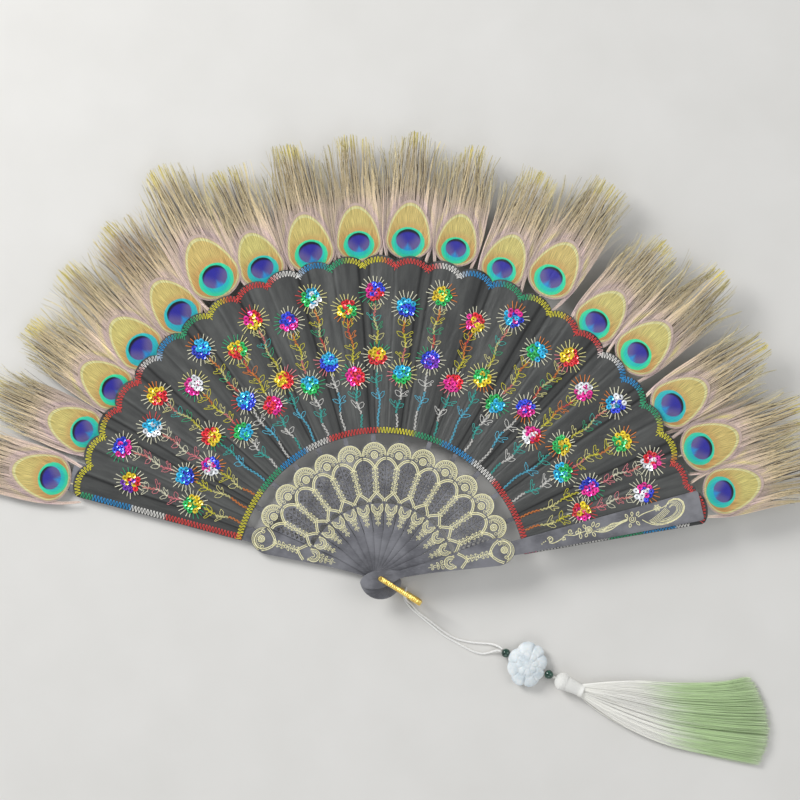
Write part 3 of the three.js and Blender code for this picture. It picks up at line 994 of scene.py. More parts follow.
@dataclass
class SilkTassel:
    """Wrapped ball, bound neck and loose skirt of silk, whose edges are places in x and y."""

    string: BeadString = field(default_factory=BeadString)
    ball_along: float = 41.7
    ball_radius: float = 5.8
    knot_radius: float = 1.0
    neck_along: float = 44.6
    neck_length: float = 12.4
    neck_start: float = 9.8
    neck_end: float = 8
    binding_rounds: int = 5
    binding_width: float = 2.3
    binding_pitch: float = 0.42
    lift: float = 0.05
    strand_count: int = 1050
    strand_rings: int = 22
    strand_radius: float = 0.26
    locks: int = 34
    green_from: float = 170
    green_to: float = 210
    white: str = "FBFAF6"
    green: str = "CCE2B4"
    tip: str = "ECF6DE"
    upper_edge: tuple[tuple[float, float], ...] = (
        (133.4, -70.6), (150, -69.2), (170.9, -69.1), (196.2, -70.6), (224.6, -69.6), (244.5, -66.2),
    )
    lower_edge: tuple[tuple[float, float], ...] = (
        (130.3, -77.6), (150, -91.2), (170.9, -102.9), (189.9, -110.7), (218.3, -117.5), (249.6, -124),
    )
    end_bulge: float = 9.5
    end_angle: float = -10
    stray_lines: tuple[tuple[tuple[float, float], ...], ...] = (
        ((138, -71.6), (155.3, -70.8), (169.7, -68.9), (188, -70.9), (206, -71.6)),
        ((127.5, -75), (137, -83.5), (148.8, -92), (180.1, -107), (208.8, -115.8), (232, -118.6)),
    )
    stray_shifts: tuple[float, ...] = (-0.3, 0.05, 0.5)

    def build(self, silk: bpy.types.Material) -> None:
        """Makes the ball with its knot, the neck and the skirt.

        Args:
            silk: finish of all three.
        """
        for node, parts in (("tassel_ball", self.ball_parts()), ("tassel_neck", self.neck_parts())):
            sheet = Patchwork()
            for points, faces, place in parts:
                sheet.add(points, faces, linear(self.white), place)
            hold(sheet.piece(f"{node}_silk", silk, outward=True), "tassel", "silk_white", node)
        hold(self.skirt(silk), "tassel", "silk_green", "tassel_skirt")

    def yarn_body(self, x: Array, radius: Array, yarns: int, depth: float, slant: float) -> Array:
        """Body of revolution along +X with raised yarns on it.

        The radius is r (1 + depth |cos(yarns / 2 x turn + slant x)|), so each yarn is a round ridge.

        Args:
            x: places along the axis.
            radius: the body's radius at each place.
            yarns: how many yarns lie round it.
            depth: height of a yarn as a share of the radius.
            slant: turn of the yarns for each millimetre along.

        Returns:
            Grid of points, one row for each place.
        """
        turn = np.linspace(0, 2 * np.pi, yarns * 5, endpoint=False)[None]
        ridge = np.abs(np.cos(yarns / 2 * turn + slant * x[:, None]))
        return turned_body(x, radius[:, None] * (1 + depth * (ridge - 0.6)), yarns * 5)

    def ball_parts(self) -> list[tuple[Array, list[Array], Array]]:
        """Ball of wound silk and the knot against the lower bead.

        Returns:
            Both forms, as points, faces and places.
        """
        parts, size = [], self.ball_radius
        turn = np.linspace(0.06, np.pi - 0.06, 30)
        ball = self.yarn_body(-np.cos(turn) * size * 0.9, np.sin(turn) * size, 30, 0.035, 0.25)
        knot_x = np.linspace(-1, 1, 12)
        girth = self.knot_radius * np.sqrt(1 - 0.8 * knot_x**2)
        knot = self.yarn_body(knot_x * 1.3, girth, 9, 0.12, 1.4)
        knot = moved(knot, -size - 0.35, 0, self.string.bead_radius - size)
        for grid in (ball, knot):
            placed = self.string.placed(grid, self.ball_along, self.lift + size)
            parts.append((placed, tube_faces(1, *grid.shape[:2]), self.grid_place(grid)))
        return parts

    def grid_place(self, grid: Array) -> Array:
        """Pattern place of a grid: share along its rows and round its columns."""
        rows, columns = grid.shape[:2]
        return pair(np.linspace(0, 1, rows)[:, None], np.arange(columns) / columns)

    def neck_parts(self) -> list[tuple[Array, list[Array], Array]]:
        """Neck of yarns laid lengthwise, with the binding thread wound round its end.

        Returns:
            Both forms, as points, faces and places.
        """
        share = np.linspace(0, 1, 22)
        radius = lerp(self.neck_start, self.neck_end, ease(share)) / 2
        radius = radius * (1 - 0.06 * np.sin(np.pi * share))
        grid = self.yarn_body(share * self.neck_length, radius, 34, 0.05, 0.05)
        grid[..., 2] += lerp(self.ball_radius, self.neck_end / 2, ease(share))[:, None]
        parts = [(grid, tube_faces(1, *grid.shape[:2]), self.grid_place(grid))]
        rounds = self.binding_rounds
        angle = np.linspace(0, 2 * np.pi * rounds, rounds * 28)
        x = self.neck_length - self.binding_width + self.binding_pitch * angle / (2 * np.pi)
        reach = self.neck_end / 2 + 0.1
        height = self.neck_end / 2 + 0.12
        path = np.stack([x, reach * np.cos(angle), height + reach * np.sin(angle)], axis=-1)
        parts.append((*tubes(path[None], self.strand_radius, self.strand_radius, 6), np.zeros(2)))
        return [
            (self.string.placed(points, self.neck_along, self.lift), faces, place)
            for points, faces, place in parts
        ]

    def stray(self, line: tuple[tuple[float, float], ...], shift: float) -> Array:
        """Path of a strand that has come away from the skirt's edge and dips to the surface.

        Its height is that of the edge at both ends, less 2.1 sin(pi t) between them.

        Args:
            line: places it runs through.
            shift: how far it is moved across.

        Returns:
            Its path, one row of points.
        """
        t = np.linspace(0, 1, self.strand_rings)
        plan = resampled(smooth_route(np.array(line), 8), self.strand_rings)
        plan = plan + shift * np.sin(np.pi * t)[:, None] * np.array([0.3, 1])
        height = self.lift + self.strand_radius + 2.6 - 2.1 * np.sin(np.pi * t) - 0.5 * t
        return np.concatenate([plan, height[:, None]], axis=-1)[None]

    def skirt(self, silk: bpy.types.Material) -> bpy.types.Object:
        """Loose silk strands that fan out from the neck's binding.

        A strand runs at share v between the skirt's two edges: p(t) = upper(t) + v (lower(t) -
        upper(t)), bulged outwards at the end by 1 - (2v - 1)^2, with its own small sway.

        Args:
            silk: the finish.

        Returns:
            The skirt's object.
        """
        random = np.random.default_rng(7)
        count, rings = self.strand_count, self.strand_rings
        t = np.linspace(0, 1, rings)[None]
        v = (np.arange(count) + random.uniform(-0.4, 0.4, count)) / (count - 1)
        layer = random.uniform(-1, 1, count)
        upper = resampled(smooth_route(np.array(self.upper_edge), 8), rings)
        lower = resampled(smooth_route(np.array(self.lower_edge), 8), rings)
        v_now = v[:, None]
        lock = np.round(v_now * self.locks) / self.locks
        v_now = lerp(v_now, lock, 0.3 * ease((t - 0.55) / 0.45) * random.uniform(0, 1, (count, 1)))
        plan = lerp(upper[None], lower[None], v_now[..., None])
        out = turned(np.array([1.0, 0.0]), self.end_angle)
        bulge = self.end_bulge * (1 - (2 * v_now - 1) ** 2) * t**3
        ragged = (random.normal(0, 1.1, (count, 1)) - 1.4) * t**6
        plan = plan + (bulge + ragged)[..., None] * out
        sway = random.normal(0, 0.5, (count, 1)) * np.sin(np.pi * t * random.uniform(0.6, 1.8, (count, 1)))
        plan[..., 1] += sway * ease(t / 0.3)
        high = lerp(3.5, 2.1, ease(t / 0.8))
        side = np.sqrt(np.clip(1 - (2 * v_now - 1) ** 2, 0.04, 1))
        lift = self.lift + self.strand_radius + high * (1 + layer[:, None] * side * 0.98)
        paths = np.concatenate([plan, lift[..., None]], axis=-1)
        strays = [self.stray(line, shift) for line in self.stray_lines for shift in self.stray_shifts]
        paths = np.concatenate([paths, *strays])
        v_now = np.concatenate([v_now, np.zeros((len(strays), rings))])
        count = len(paths)
        thin = self.strand_radius * lerp(1, 0.45, t**4)
        points, faces = tubes(paths, thin, thin, 3)
        dyed = paths[..., 0] - self.green_from - 12 * (v_now - 0.3) + random.normal(0, 5, (count, 1))
        green = ease(dyed / (self.green_to - self.green_from))
        pale = ease((t - 0.94) / 0.06) * random.uniform(0.2, 0.9, (count, 1))
        tint = lerp(linear(self.white), linear(self.green), green[..., None])
        tint = lerp(tint, linear(self.tip), pale[..., None])
        tint = tint * random.uniform(0.93, 1.12, (count, 1, 1))
        sheet = Patchwork()
        sheet.add(points, faces, tint, pair(t, v_now))
        return sheet.piece("tassel_skirt_silk", silk)


@dataclass
class GoldShackle:
    """Ridged gold bar bent into a U over the stack of sticks."""

    angle: float = -32
    width: float = 3.5
    thickness: float = 1.2
    reach: float = 31
    bend: float = 2.2
    lower: float = 1.6
    upper: float = 22.0
    waist: float = 0.14
    ridge_pitch: float = 1.35
    ridge_height: float = 0.26
    ridge_start: float = 1.2
    step: float = 0.16
    corners: int = 20

    def build(self, gold: bpy.types.Material) -> None:
        """Carries a rounded bar along the U, its ridges raised on the outer side.

        The section is a squarish ellipse |y/w|^4 + |z/h|^4 = 1 whose width closes in a half round
        at both ends, and whose outer side rises by the ridge height x |sin(pi s / pitch)|.

        Args:
            gold: finish of the bar.
        """
        half = self.thickness / 2
        radius = self.bend - half
        far = self.reach - self.bend
        turn = np.linspace(-np.pi / 2, 0, 7)
        low_z, high_z = self.lower + half, self.upper + half
        later = turn + np.pi / 2
        path = np.vstack([
            [[-self.width / 2, low_z], [far, low_z]],
            pair(far + radius * np.cos(turn), low_z + radius + radius * np.sin(turn))[1:],
            pair(far + radius * np.cos(later), high_z - radius + radius * np.sin(later)),
            [[-self.width / 2, high_z]],
        ])
        total = np.linalg.norm(np.diff(path, axis=0), axis=1).sum()
        path = resampled(path, int(total / self.step))
        along = np.linspace(0, total, len(path))
        tangent = np.gradient(path, axis=0)
        tangent /= np.linalg.norm(tangent, axis=1, keepdims=True)
        out = pair(tangent[:, 1], -tangent[:, 0])
        end = np.minimum(along, total - along)
        closing = np.sqrt(np.clip(1 - (1 - np.clip(end / (self.width / 2), 0, 1)) ** 2, 0.01, 1))
        ridge = np.abs(np.sin(np.pi * along / self.ridge_pitch)) * ease((end - self.ridge_start) / 1.5)
        around = 2 * np.pi * np.arange(self.corners) / self.corners
        cos, sin = np.cos(around), np.sin(around)
        square = (np.abs(cos) ** 4 + np.abs(sin) ** 4) ** -0.25
        slim = 1 - self.waist * np.sin(np.pi * np.clip(end / (self.reach - 2), 0, 1)) ** 2
        wide = self.width / 2 * closing * slim * (0.95 + 0.05 * ridge)
        y = wide[:, None] * (cos * square)
        rise = (sin * square)[None] * half
        rise = rise + np.where(sin > 0.2, self.ridge_height, 0)[None] * (ridge[:, None] - 0.5)
        xz = path[:, None] + rise[..., None] * out[:, None]
        grid = np.stack([xz[..., 0], y, xz[..., 1]], axis=-1)
        sheet = Patchwork()
        sheet.add(turned(grid, self.angle), tube_faces(1, *grid.shape[:2]))
        bar = sheet.piece("shackle_bar", gold, outward=True, crease=55)
        hold(bar, "shackle", "shackle_gold", "shackle")


@dataclass(frozen=True)
class FanLayout:
    """Measures that the sticks, the leaf and the feathers share, as the open fan has them."""

    sticks: int = 14
    step: float = 11.45
    first_angle: float = 161.8
    overhang: float = 3.3
    scallops: int = 26
    cusp: float = 205.5
    rise: float = 5.6
    hem: float = 2.2
    leaf_inner: float = 95.5
    cloth: float = 0.25
    first_rib: float = 5.2
    rib_pitch: float = 1.2
    back_level: float = 3.1
    front_level: float = 19.6
    leaf_lift: tuple[float, float, float] = (1.45, 0.4, 0.25)
    feather_drop: float = 0.25
    photo_scale: float = 0.66
    rivet_column: float = 381
    rivet_row: float = 578
    tip_pull: float = 6.5
    tip_sector: float = 7.6
    pleat: float = 1.35
    chord_reach: float = 150
    chord_half: float = 10.5

    @property
    def leaf_start(self) -> float:
        """Angle of the leaf's left edge."""
        return self.first_angle + self.overhang

    @property
    def leaf_end(self) -> float:
        """Angle of the leaf's right edge."""
        return self.stick_angle(self.sticks - 1) - self.overhang

    def stick_angle(self, number: float) -> float:
        """Angle of a stick, counted from the back guard."""
        return self.first_angle - self.step * number

    def body(self, number: int) -> str:
        """Name of the body of a stick."""
        if number == 0:
            return "back_guard"
        return "front_guard" if number == self.sticks - 1 else f"rib_{number:02d}"

    def stick_level(self, number: int) -> float:
        """Level of the underside of a stick.

        Args:
            number: the stick, counted from the back guard.

        Returns:
            The level.
        """
        if number == 0:
            return self.back_level
        if number == self.sticks - 1:
            return self.front_level
        return self.first_rib + self.rib_pitch * (number - 1)

    def leaf_levels(self) -> Array:
        """Level of the leaf's underside at each stick."""
        back, rib, front = self.leaf_lift
        ribs = self.first_rib + rib + self.rib_pitch * np.arange(self.sticks - 2)
        return np.concatenate([[self.back_level + back], ribs, [self.front_level + front]])

    def feather_level(self, number: int) -> float:
        """Level of the underside of the feathers on a stick."""
        return float(self.leaf_levels()[number]) - self.feather_drop

    def photo_point(self, column: float, row: float) -> Array:
        """Turns a place in the photograph into x and y on the surface."""
        return pair(column - self.rivet_column, self.rivet_row - row) * self.photo_scale

    def edge_reach(self, degrees: Array) -> Array:
        """Reach of the leaf's scalloped edge.

        It is cusps + rise x sqrt |sin(pi x scallops passed)|, and at the front guard the cloth is
        pulled out past the guard's end.

        Args:
            degrees: angles.

        Returns:
            The reach at each angle.
        """
        pulled = self.tip_pull * ease((self.leaf_end + self.tip_sector - degrees) / 1.6)
        scallop = (self.leaf_start - self.leaf_end) / self.scallops
        along = (self.leaf_start - degrees) / scallop
        return self.cusp + self.hem + self.rise * np.sqrt(np.abs(np.sin(np.pi * along))) + pulled

    def gap(self, degrees: Array) -> tuple[Array, Array]:
        """Number of the gap between two sticks at an angle, and the share of the way across it."""
        along = np.clip((self.first_angle - degrees) / self.step, 0, self.sticks - 1)
        number = np.minimum(np.floor(along), self.sticks - 2).astype(int)
        return number, along - number

    def cloth_floor(self, degrees: Array) -> Array:
        """Underside of the flat leaf: level at the sticks, and an eased climb between them."""
        number, share = self.gap(degrees)
        levels = self.leaf_levels()
        return lerp(levels[number], levels[number + 1], ease((share - 0.09) / 0.82))

    def folds(self, degrees: Array, reach: Array) -> Array:
        """Height of the leaf's pleats and wrinkles over the flat cloth.

        In each gap a straight crease stands up between two flat faces that start beside the sticks,
        higher towards the outer edge. Soft buckles exp(-((side - middle) / width)^2) that wander
        with the reach and shallow slanting wrinkles lie on the faces. All of it fades to nothing at
        the sticks, where the cloth is glued.

        Args:
            degrees: angles.
            reach: distances from the rivet's axis.

        Returns:
            Heights in millimetres.
        """
        number, share = self.gap(degrees)
        window = ease(share / 0.12) * ease((1 - share) / 0.12)
        out = np.clip((reach - self.leaf_inner) / 115, 0, 1)
        crease = 0.5 + 0.07 * np.sin(2.4 * number + 1) + 0.008 * np.sin(reach / 19 + 2 * number)
        side = np.where(share < crease, share / crease, (1 - share) / (1 - crease))
        face = self.pleat * (0.35 + 0.65 * out) * np.clip((side - 0.15) / 0.85, 0, 1) ** 0.9
        middle = 0.52 + 0.14 * np.sin(reach / 26 + 1.9 * number + 3 * (share > crease))
        buckle = 0.42 * bell(side - middle, 0.1) * (0.25 + 0.75 * out)
        slant = 0.5 + 0.5 * np.sin(reach / 7.5 + 16 * share + 4 * np.sin(1.7 * number + reach / 40))
        fine = 0.5 + 0.5 * np.sin(reach / 3.6 - 21 * share + 3 * np.sin(2.9 * number + reach / 17))
        return window * (face + buckle + 0.14 * slant**2 + 0.05 * fine)

    def painted_fold_light(self, degrees: Array, reach: Array) -> Array:
        """Painted light and shade of the satin's pleats: painted shade in the valleys beside the sticks,
        painted highlights on the creases.

        Each valley is exp(-((share - place) / width)^2), and the two faces of a pleat are painted a
        little lighter or darker.

        Args:
            degrees: angles.
            reach: distances from the rivet's axis.

        Returns:
            A factor for the colour, all of it painted light and shade.
        """
        number, share = self.gap(degrees)
        crease = 0.5 + 0.07 * np.sin(2.4 * number + 1)
        # painted shade in the valleys beside the sticks and at the foot of each crease
        dark = np.zeros_like(reach * degrees)
        shade_valleys = (0.085, 0.024, 0.8), (crease - 0.04, 0.02, 0.62), (0.915, 0.024, 0.8)
        for place, width, depth in shade_valleys:
            wander = place + 0.012 * np.sin(reach / 17 + 3 * number + 9 * place)
            dark = dark + depth * bell(share - wander, width)
        # painted highlights on each crease and on the ridge beside the first valley
        crest = bell(share - crease, 0.02) + 0.8 * bell(share - 0.135, 0.02)
        # painted light: each face of a pleat lighter at one end and darker at the other, and the two faces
        # a little different
        face = np.where(share < crease, share / crease, (share - crease) / (1 - crease))
        shade = 0.42 * (face - 0.5) * np.where(share < crease, 1, -1)
        odd = 0.16 * np.sin(12.9 * number + 40 * (share > crease))
        # slow waves of lighter and darker across the cloth
        cloud = 0.1 * np.sin(reach / 21 + 2.3 * number + 7 * share) * np.sin(reach / 47 + number)
        return np.clip(1 - dark + 0.5 * crest + shade + odd + cloud, 0.12, None)

    def cloth_top(self, degrees: Array, reach: Array) -> Array:
        """Upper side of the leaf at an angle and reach."""
        return self.cloth_floor(degrees) + self.folds(degrees, reach) + self.cloth

    def across_gap(self, piece: bpy.types.Object, gap: int) -> None:
        """Bakes the placement of a piece of the leaf, which lies between two sticks, into its mesh.

        Args:
            piece: the finished object.
            gap: its gap, counted from the back guard.
        """
        middle = math.radians(self.stick_angle(gap + 0.5))
        self.body(gap)
        self.body(gap + 1)
        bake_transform(piece)


def shell(top: Array, under: Array) -> Form:
    """Closes two grids of points into one thin shell.

    Each ring runs over a row of the top and back along the row under it, and quads close both ends.

    Args:
        top: upper grid (rows, columns, 3).
        under: lower grid of the same shape.

    Returns:
        Points and faces.
    """
    rows, columns = top.shape[:2]
    k = np.arange(columns - 1)
    cap = np.stack([k, k + 1, 2 * columns - 2 - k, 2 * columns - 1 - k], axis=-1)
    faces = [grid_faces(rows, 2 * columns, True), cap, cap + (rows - 1) * 2 * columns]
    return np.concatenate([top, under[:, ::-1]], axis=1), faces


def pierced_plate(outline: Array, holes: list[Array], low: float, high: float, bevel: float) -> Form:
    """Cuts a plate with holes and rounds all its edges.

    The flat curves are filled, extruded by half the thickness both ways and bevelled inwards.

    Args:
        outline: closed outline (n, 2).
        holes: closed outlines of the holes.
        low: level of the underside.
        high: level of the upper side.
        bevel: radius of the edges.

    Returns:
        Points and triangles.
    """
    curve = bpy.data.curves.new("plate_outline", "CURVE")
    curve.dimensions = "2D"
    curve.fill_mode = "BOTH"
    curve.extrude = (high - low) / 2 - bevel
    curve.bevel_depth = bevel
    curve.bevel_resolution = 1
    curve.offset = -bevel
    for loop in (outline, *holes):
        spline = curve.splines.new("POLY")
        spline.points.add(len(loop) - 1)
        places = np.column_stack([loop, np.zeros(len(loop)), np.ones(len(loop))])
        spline.points.foreach_set("co", places.ravel())
        spline.use_cyclic_u = True
    holder = bpy.data.objects.new("plate_outline", curve)
    bpy.context.scene.collection.objects.link(holder)
    evaluated = holder.evaluated_get(bpy.context.evaluated_depsgraph_get())
    mesh = bpy.data.meshes.new_from_object(evaluated)
    bpy.data.objects.remove(holder)
    face_outward(mesh, WELD)
    mesh.calc_loop_triangles()
    points = np.empty(len(mesh.vertices) * 3, np.float32)
    mesh.vertices.foreach_get("co", points)
    corners = np.empty(len(mesh.loop_triangles) * 3, np.int32)
    mesh.loop_triangles.foreach_get("vertices", corners)
    bpy.data.meshes.remove(mesh)
    return moved(points.reshape(-1, 3).astype(float), 0, 0, (low + high) / 2), [corners.reshape(-1, 3)]


def bow(x: float, y: float, wide: float, tall: float, start: float, end: float) -> Array:
    """Elliptic arc round a middle, from one angle to another."""
    turn = np.radians(np.linspace(start, end, 24))
    return pair(x + wide * np.cos(turn), y + tall * np.sin(turn))


def curl(x: float, y: float, inner: float, outer: float, start: float, turns: float) -> Array:
    """Spiral whose radius grows evenly from inner to outer as it turns.

    Args:
        x: its middle.
        y: its middle.
        inner: radius where it starts.
        outer: radius where it ends.
        start: angle where it starts.
        turns: how often it goes round, negative for clockwise.

    Returns:
        Its points (30, 2).
    """
    share = np.linspace(0, 1, 30)
    turn = math.radians(start) + 2 * np.pi * turns * share
    reach = lerp(inner, outer, share)
    return pair(x + reach * np.cos(turn), y + reach * np.sin(turn))


def leaf_loop(x: float, y: float, length: float, width: float, degrees: float) -> Array:
    """Closed leaf: goes out along an angle as t and to both sides as sin(pi t)^0.8.

    Args:
        x: its root.
        y: its root.
        length: of the leaf.
        width: of the leaf.
        degrees: angle that it points to.

    Returns:
        Its points (24, 2).
    """
    t = np.concatenate([np.linspace(0, 1, 12), np.linspace(1, 0, 12)])
    sign = np.repeat([1.0, -1.0], 12)
    side = sign * width / 2 * np.abs(np.sin(np.pi * t)) ** 0.8
    return turned(pair(length * t, side), degrees) + [x, y]


def beside(path: Array, offset: float) -> Array:
    """Path shifted to its left by an offset along its own normal."""
    step = np.gradient(path, axis=0)
    step = step / (np.linalg.norm(step, axis=1, keepdims=True) + TINY)
    return path + offset * pair(-step[:, 1], step[:, 0])


class PrintStrokes:
    """Thin raised strokes of gold ink, gathered in a stick's own plane."""

    def __init__(self) -> None:
        """Starts with no stroke."""
        self.paths: list[Array] = []
        self.widths: list[float] = []

    def add(self, path: Array, width: float, mirror: bool = False) -> None:
        """Adds a stroke of a width, and its mirror image across the stick's axis if wanted.

        Args:
            path: the stroke's points (n, 2).
            width: of the stroke.
            mirror: whether its mirror image is added too.
        """
        path = resampled(np.asarray(path, float), 22)
        self.paths.append(path)
        self.widths.append(width)
        if mirror:
            self.add(path * FLIP, width)

    def rings(self, x: float, y: float, *rings: tuple[float, float]) -> None:
        """Adds rings round a middle, each with its radius and width."""
        for radius, width in rings:
            self.add(bow(x, y, radius, radius, 0, 365), width)

    def flow(self, points: Any, width: float, steps: int = 8) -> None:
        """Adds a smooth stroke through points."""
        self.add(smooth_route(np.array(points), steps), width)

    def leaves(self, breadth: float, width: float, *leaves: tuple[float, ...]) -> None:
        """Adds leaves of one breadth, each with its x, y, length and angle."""
        for x, y, length, degrees in leaves:
            self.add(leaf_loop(x, y, length, breadth, degrees), width)

    def surface(self, level: float, height: float = 0.06) -> Form:
        """Carries a flat lens section along every stroke, half sunk in the plastic.

        Args:
            level: level of the plastic's surface.
            height: how far a stroke stands up.

        Returns:
            Points and faces.
        """
        flat = np.stack(self.paths)
        paths = np.concatenate([flat, np.full((*flat.shape[:2], 1), level)], axis=-1)
        return tubes(paths, np.array(self.widths)[:, None] / 2, height, 6)


@dataclass
class Sticks:
    """Twelve pierced inner sticks and the two guards, with their gold print."""

    layout: FanLayout = field(default_factory=FanLayout)
    gorge_reach: float = 90.3
    rib_thickness: float = 0.9
    slip_thickness: float = 0.4
    slip_width: float = 3
    slip_tip: float = 2.4
    slip_reach: float = 198
    head_reach: float = 14
    head_radius: float = 6.2
    neck_width: float = 6.2
    neck_reach: float = 10
    medallion: float = 8
    edge_gap: float = 0.15
    bevel: float = 0.2
    slip_bevel: float = 0.08
    guard_bevel: float = 0.4
    pin_radius: float = 1.3
    dome_inner: float = 49.4
    dome_outer: float = 52.8
    dome_width: float = 7.3
    bat_inner: float = 74.2
    bat_width: float = 8.8
    lattice_middle: float = 64.7
    lattice_half: float = 12
    lattice_depth: float = 5.4
    lattice_start: float = 1.75
    lattice_pitch: float = 3.3
    lattice_columns: int = 2
    lattice_step: float = 1.75
    lozenge_long: float = 1.25
    lozenge_wide: float = 1.2
    lattice_rib: float = 0.4
    lattice_share: float = 0.93
    guard_reach: float = 216
    guard_tip: float = 20
    guard_slip_root: float = 84
    guard_root_width: float = 9
    guard_shoulder: float = 18.4
    guard_crown: float = 12.3
    guard_corner: float = 2
    guard_neck: tuple[tuple[float, float], ...] = ((36, 4), (24, 3), (13, 2.5))
    guard_head: tuple[float, ...] = (-2, 0, 12, 6)
    back_thickness: float = 1.8
    front_thickness: float = 2.1
    guard_slip: float = 1.2
    front_slip_base: float = 0.5

    def sector(self, reach: Any) -> Any:
        """Half width of a stick's sector at a reach."""
        return reach * math.tan(math.radians(self.layout.step / 2)) - self.edge_gap

    def build(self, plastic: bpy.types.Material, ink: bpy.types.Material) -> None:
        """Makes every stick and its print, each in place of its CAD node.

        Args:
            plastic: finish of the sticks.
            ink: finish of the print.
        """
        rib, rib_print = self.rib_plate(), self.rib_strokes().surface(self.rib_thickness)
        guard_print, last = self.guard_strokes(), self.layout.sticks - 1
        guards = {0: (self.back_thickness, 0), last: (self.front_thickness, self.front_slip_base)}
        for number in range(last + 1):
            solid, strokes = rib, rib_print
            if number in guards:
                solid, strokes = self.guard_plate(*guards[number]), guard_print.surface(guards[number][0])
            body = self.layout.body(number)
            self.place(f"{body}_stick", number, solid, plastic, body)
            self.place(f"{body}_print", number, [strokes], ink)
        scroll = self.slip_scroll().surface(self.front_slip_base + self.guard_slip)
        self.place("front_guard_scroll", last, [scroll], ink)

    def place(
        self, name: str, number: int, parts: list[Form], finish: bpy.types.Material, *nodes: str
    ) -> None:
        """Turns forms made along +X to a stick's angle and raises them to its level.

        Args:
            name: the piece's name.
            number: the stick, counted from the back guard.
            parts: closed forms, as points and faces.
            finish: the piece's finish.
            nodes: CAD nodes that it stands for.
        """
        layout = self.layout
        sheet = Patchwork()
        for points, faces in parts:
            there = turned(points, layout.stick_angle(number))
            sheet.add(moved(there, 0, 0, layout.stick_level(number)), faces)
        hold(sheet.piece(name, finish), layout.body(number), "stick_plastic", *nodes)

    def mirrored(self, half: Array) -> Array:
        """Closed outline from its half above the axis, listed from the outer end inwards."""
        off_axis = half[half[:, 1] > 0.05]
        return np.vstack([half, (off_axis * FLIP)[::-1]])

    def rib_plate(self) -> list[Form]:
        """Pierced gorge with its medallion, and the thin slip, along +X.

        Returns:
            Both closed forms, as points and faces.
        """
        middle = self.gorge_reach - self.medallion
        blade = (self.neck_width / 2 + self.edge_gap) / math.tan(math.radians(self.layout.step / 2))
        half = np.vstack([
            bow(middle, 0, self.medallion, self.sector(middle), 0, 90),
            [[blade, self.neck_width / 2], [self.neck_reach, self.neck_width / 2]],
            bow(self.head_radius - self.head_reach, 0, self.head_radius, self.head_radius, 50, 180),
        ])
        holes = [self.pin_hole(), self.dome_hole(), self.bat_hole(), *self.lattice()]
        gorge = pierced_plate(self.mirrored(half), holes, 0, self.rib_thickness, self.bevel)
        root, tip = self.slip_width / 2, self.slip_tip / 2
        slip = np.array([[middle, -root], [self.slip_reach, -tip], [self.slip_reach, tip], [middle, root]])
        return [gorge, pierced_plate(slip, [], 0, self.slip_thickness, self.slip_bevel)]

    def pin_hole(self) -> Array:
        """Round hole that the rivet goes through."""
        return bow(0, 0, self.pin_radius, self.pin_radius, 360, 15)[:-1]

    def dome_hole(self) -> Array:
        """Half-round hole, its round side outwards."""
        deep = self.dome_outer - self.dome_inner
        return bow(self.dome_inner, 0, deep, self.dome_width / 2, 90, -90)

    def bat_hole(self) -> Array:
        """Bat-shaped hole under the medallion, dented where the boss is.

        Returns:
            Its outline.
        """
        wing = self.bat_width / 2
        upper = np.array([
            [self.bat_inner, 0.4], [76.2, 2.0], [77.6, 3.2], [78.7, wing], [79.9, wing - 0.1], [80.2, 3.0],
            [79.6, 2.1], [79.3, 1.0],
        ])
        return self.mirrored(upper)

    def lattice(self) -> list[Array]:
        """Lozenges in staggered rows beside both edges, kept inside half an oval.

        A lozenge stays where ((x - middle) / half)^2 + (distance from the edge / depth)^2 is under
        the oval's share, and where a rib is left beside the stick's axis.

        Returns:
            The outlines of the holes.
        """
        holes, middle = [], self.lattice_middle
        long, wide = self.lozenge_long, self.lozenge_wide
        lozenge = np.array([[-long, 0], [0, wide], [long, 0], [0, -wide]])
        for column in range(self.lattice_columns):
            away = self.lattice_start + self.lattice_step * column
            first, last = middle - 4 * self.lattice_pitch, middle + self.lattice_half
            x = np.arange(first, last, self.lattice_pitch) + (column % 2) * self.lattice_pitch / 2
            oval = ((x - middle) / self.lattice_half) ** 2 + (away / self.lattice_depth) ** 2
            for place in x[oval < self.lattice_share]:
                y = self.sector(place) - away
                if y >= self.lozenge_wide + self.lattice_rib:
                    shape = lozenge + [place, y]
                    holes.extend([shape, shape * FLIP])
        return holes

    def oval_band(self, half: float, peak: float, valley: float, inner: float) -> Array:
        """Side of the arch band: x = inner + (peak - inner) sqrt(1 - ((half - y) / w)^2).

        Args:
            half: half width of the band's sector.
            peak: reach of its crown.
            valley: reach of its foot.
            inner: reach of the ellipse's middle.

        Returns:
            Its points from the foot up.
        """
        tall = peak - inner
        spread = half / math.sqrt(1 - ((valley - inner) / tall) ** 2)
        y = np.linspace(0, half, 20)
        return pair(inner + tall * np.sqrt(1 - ((half - y) / spread) ** 2), y)

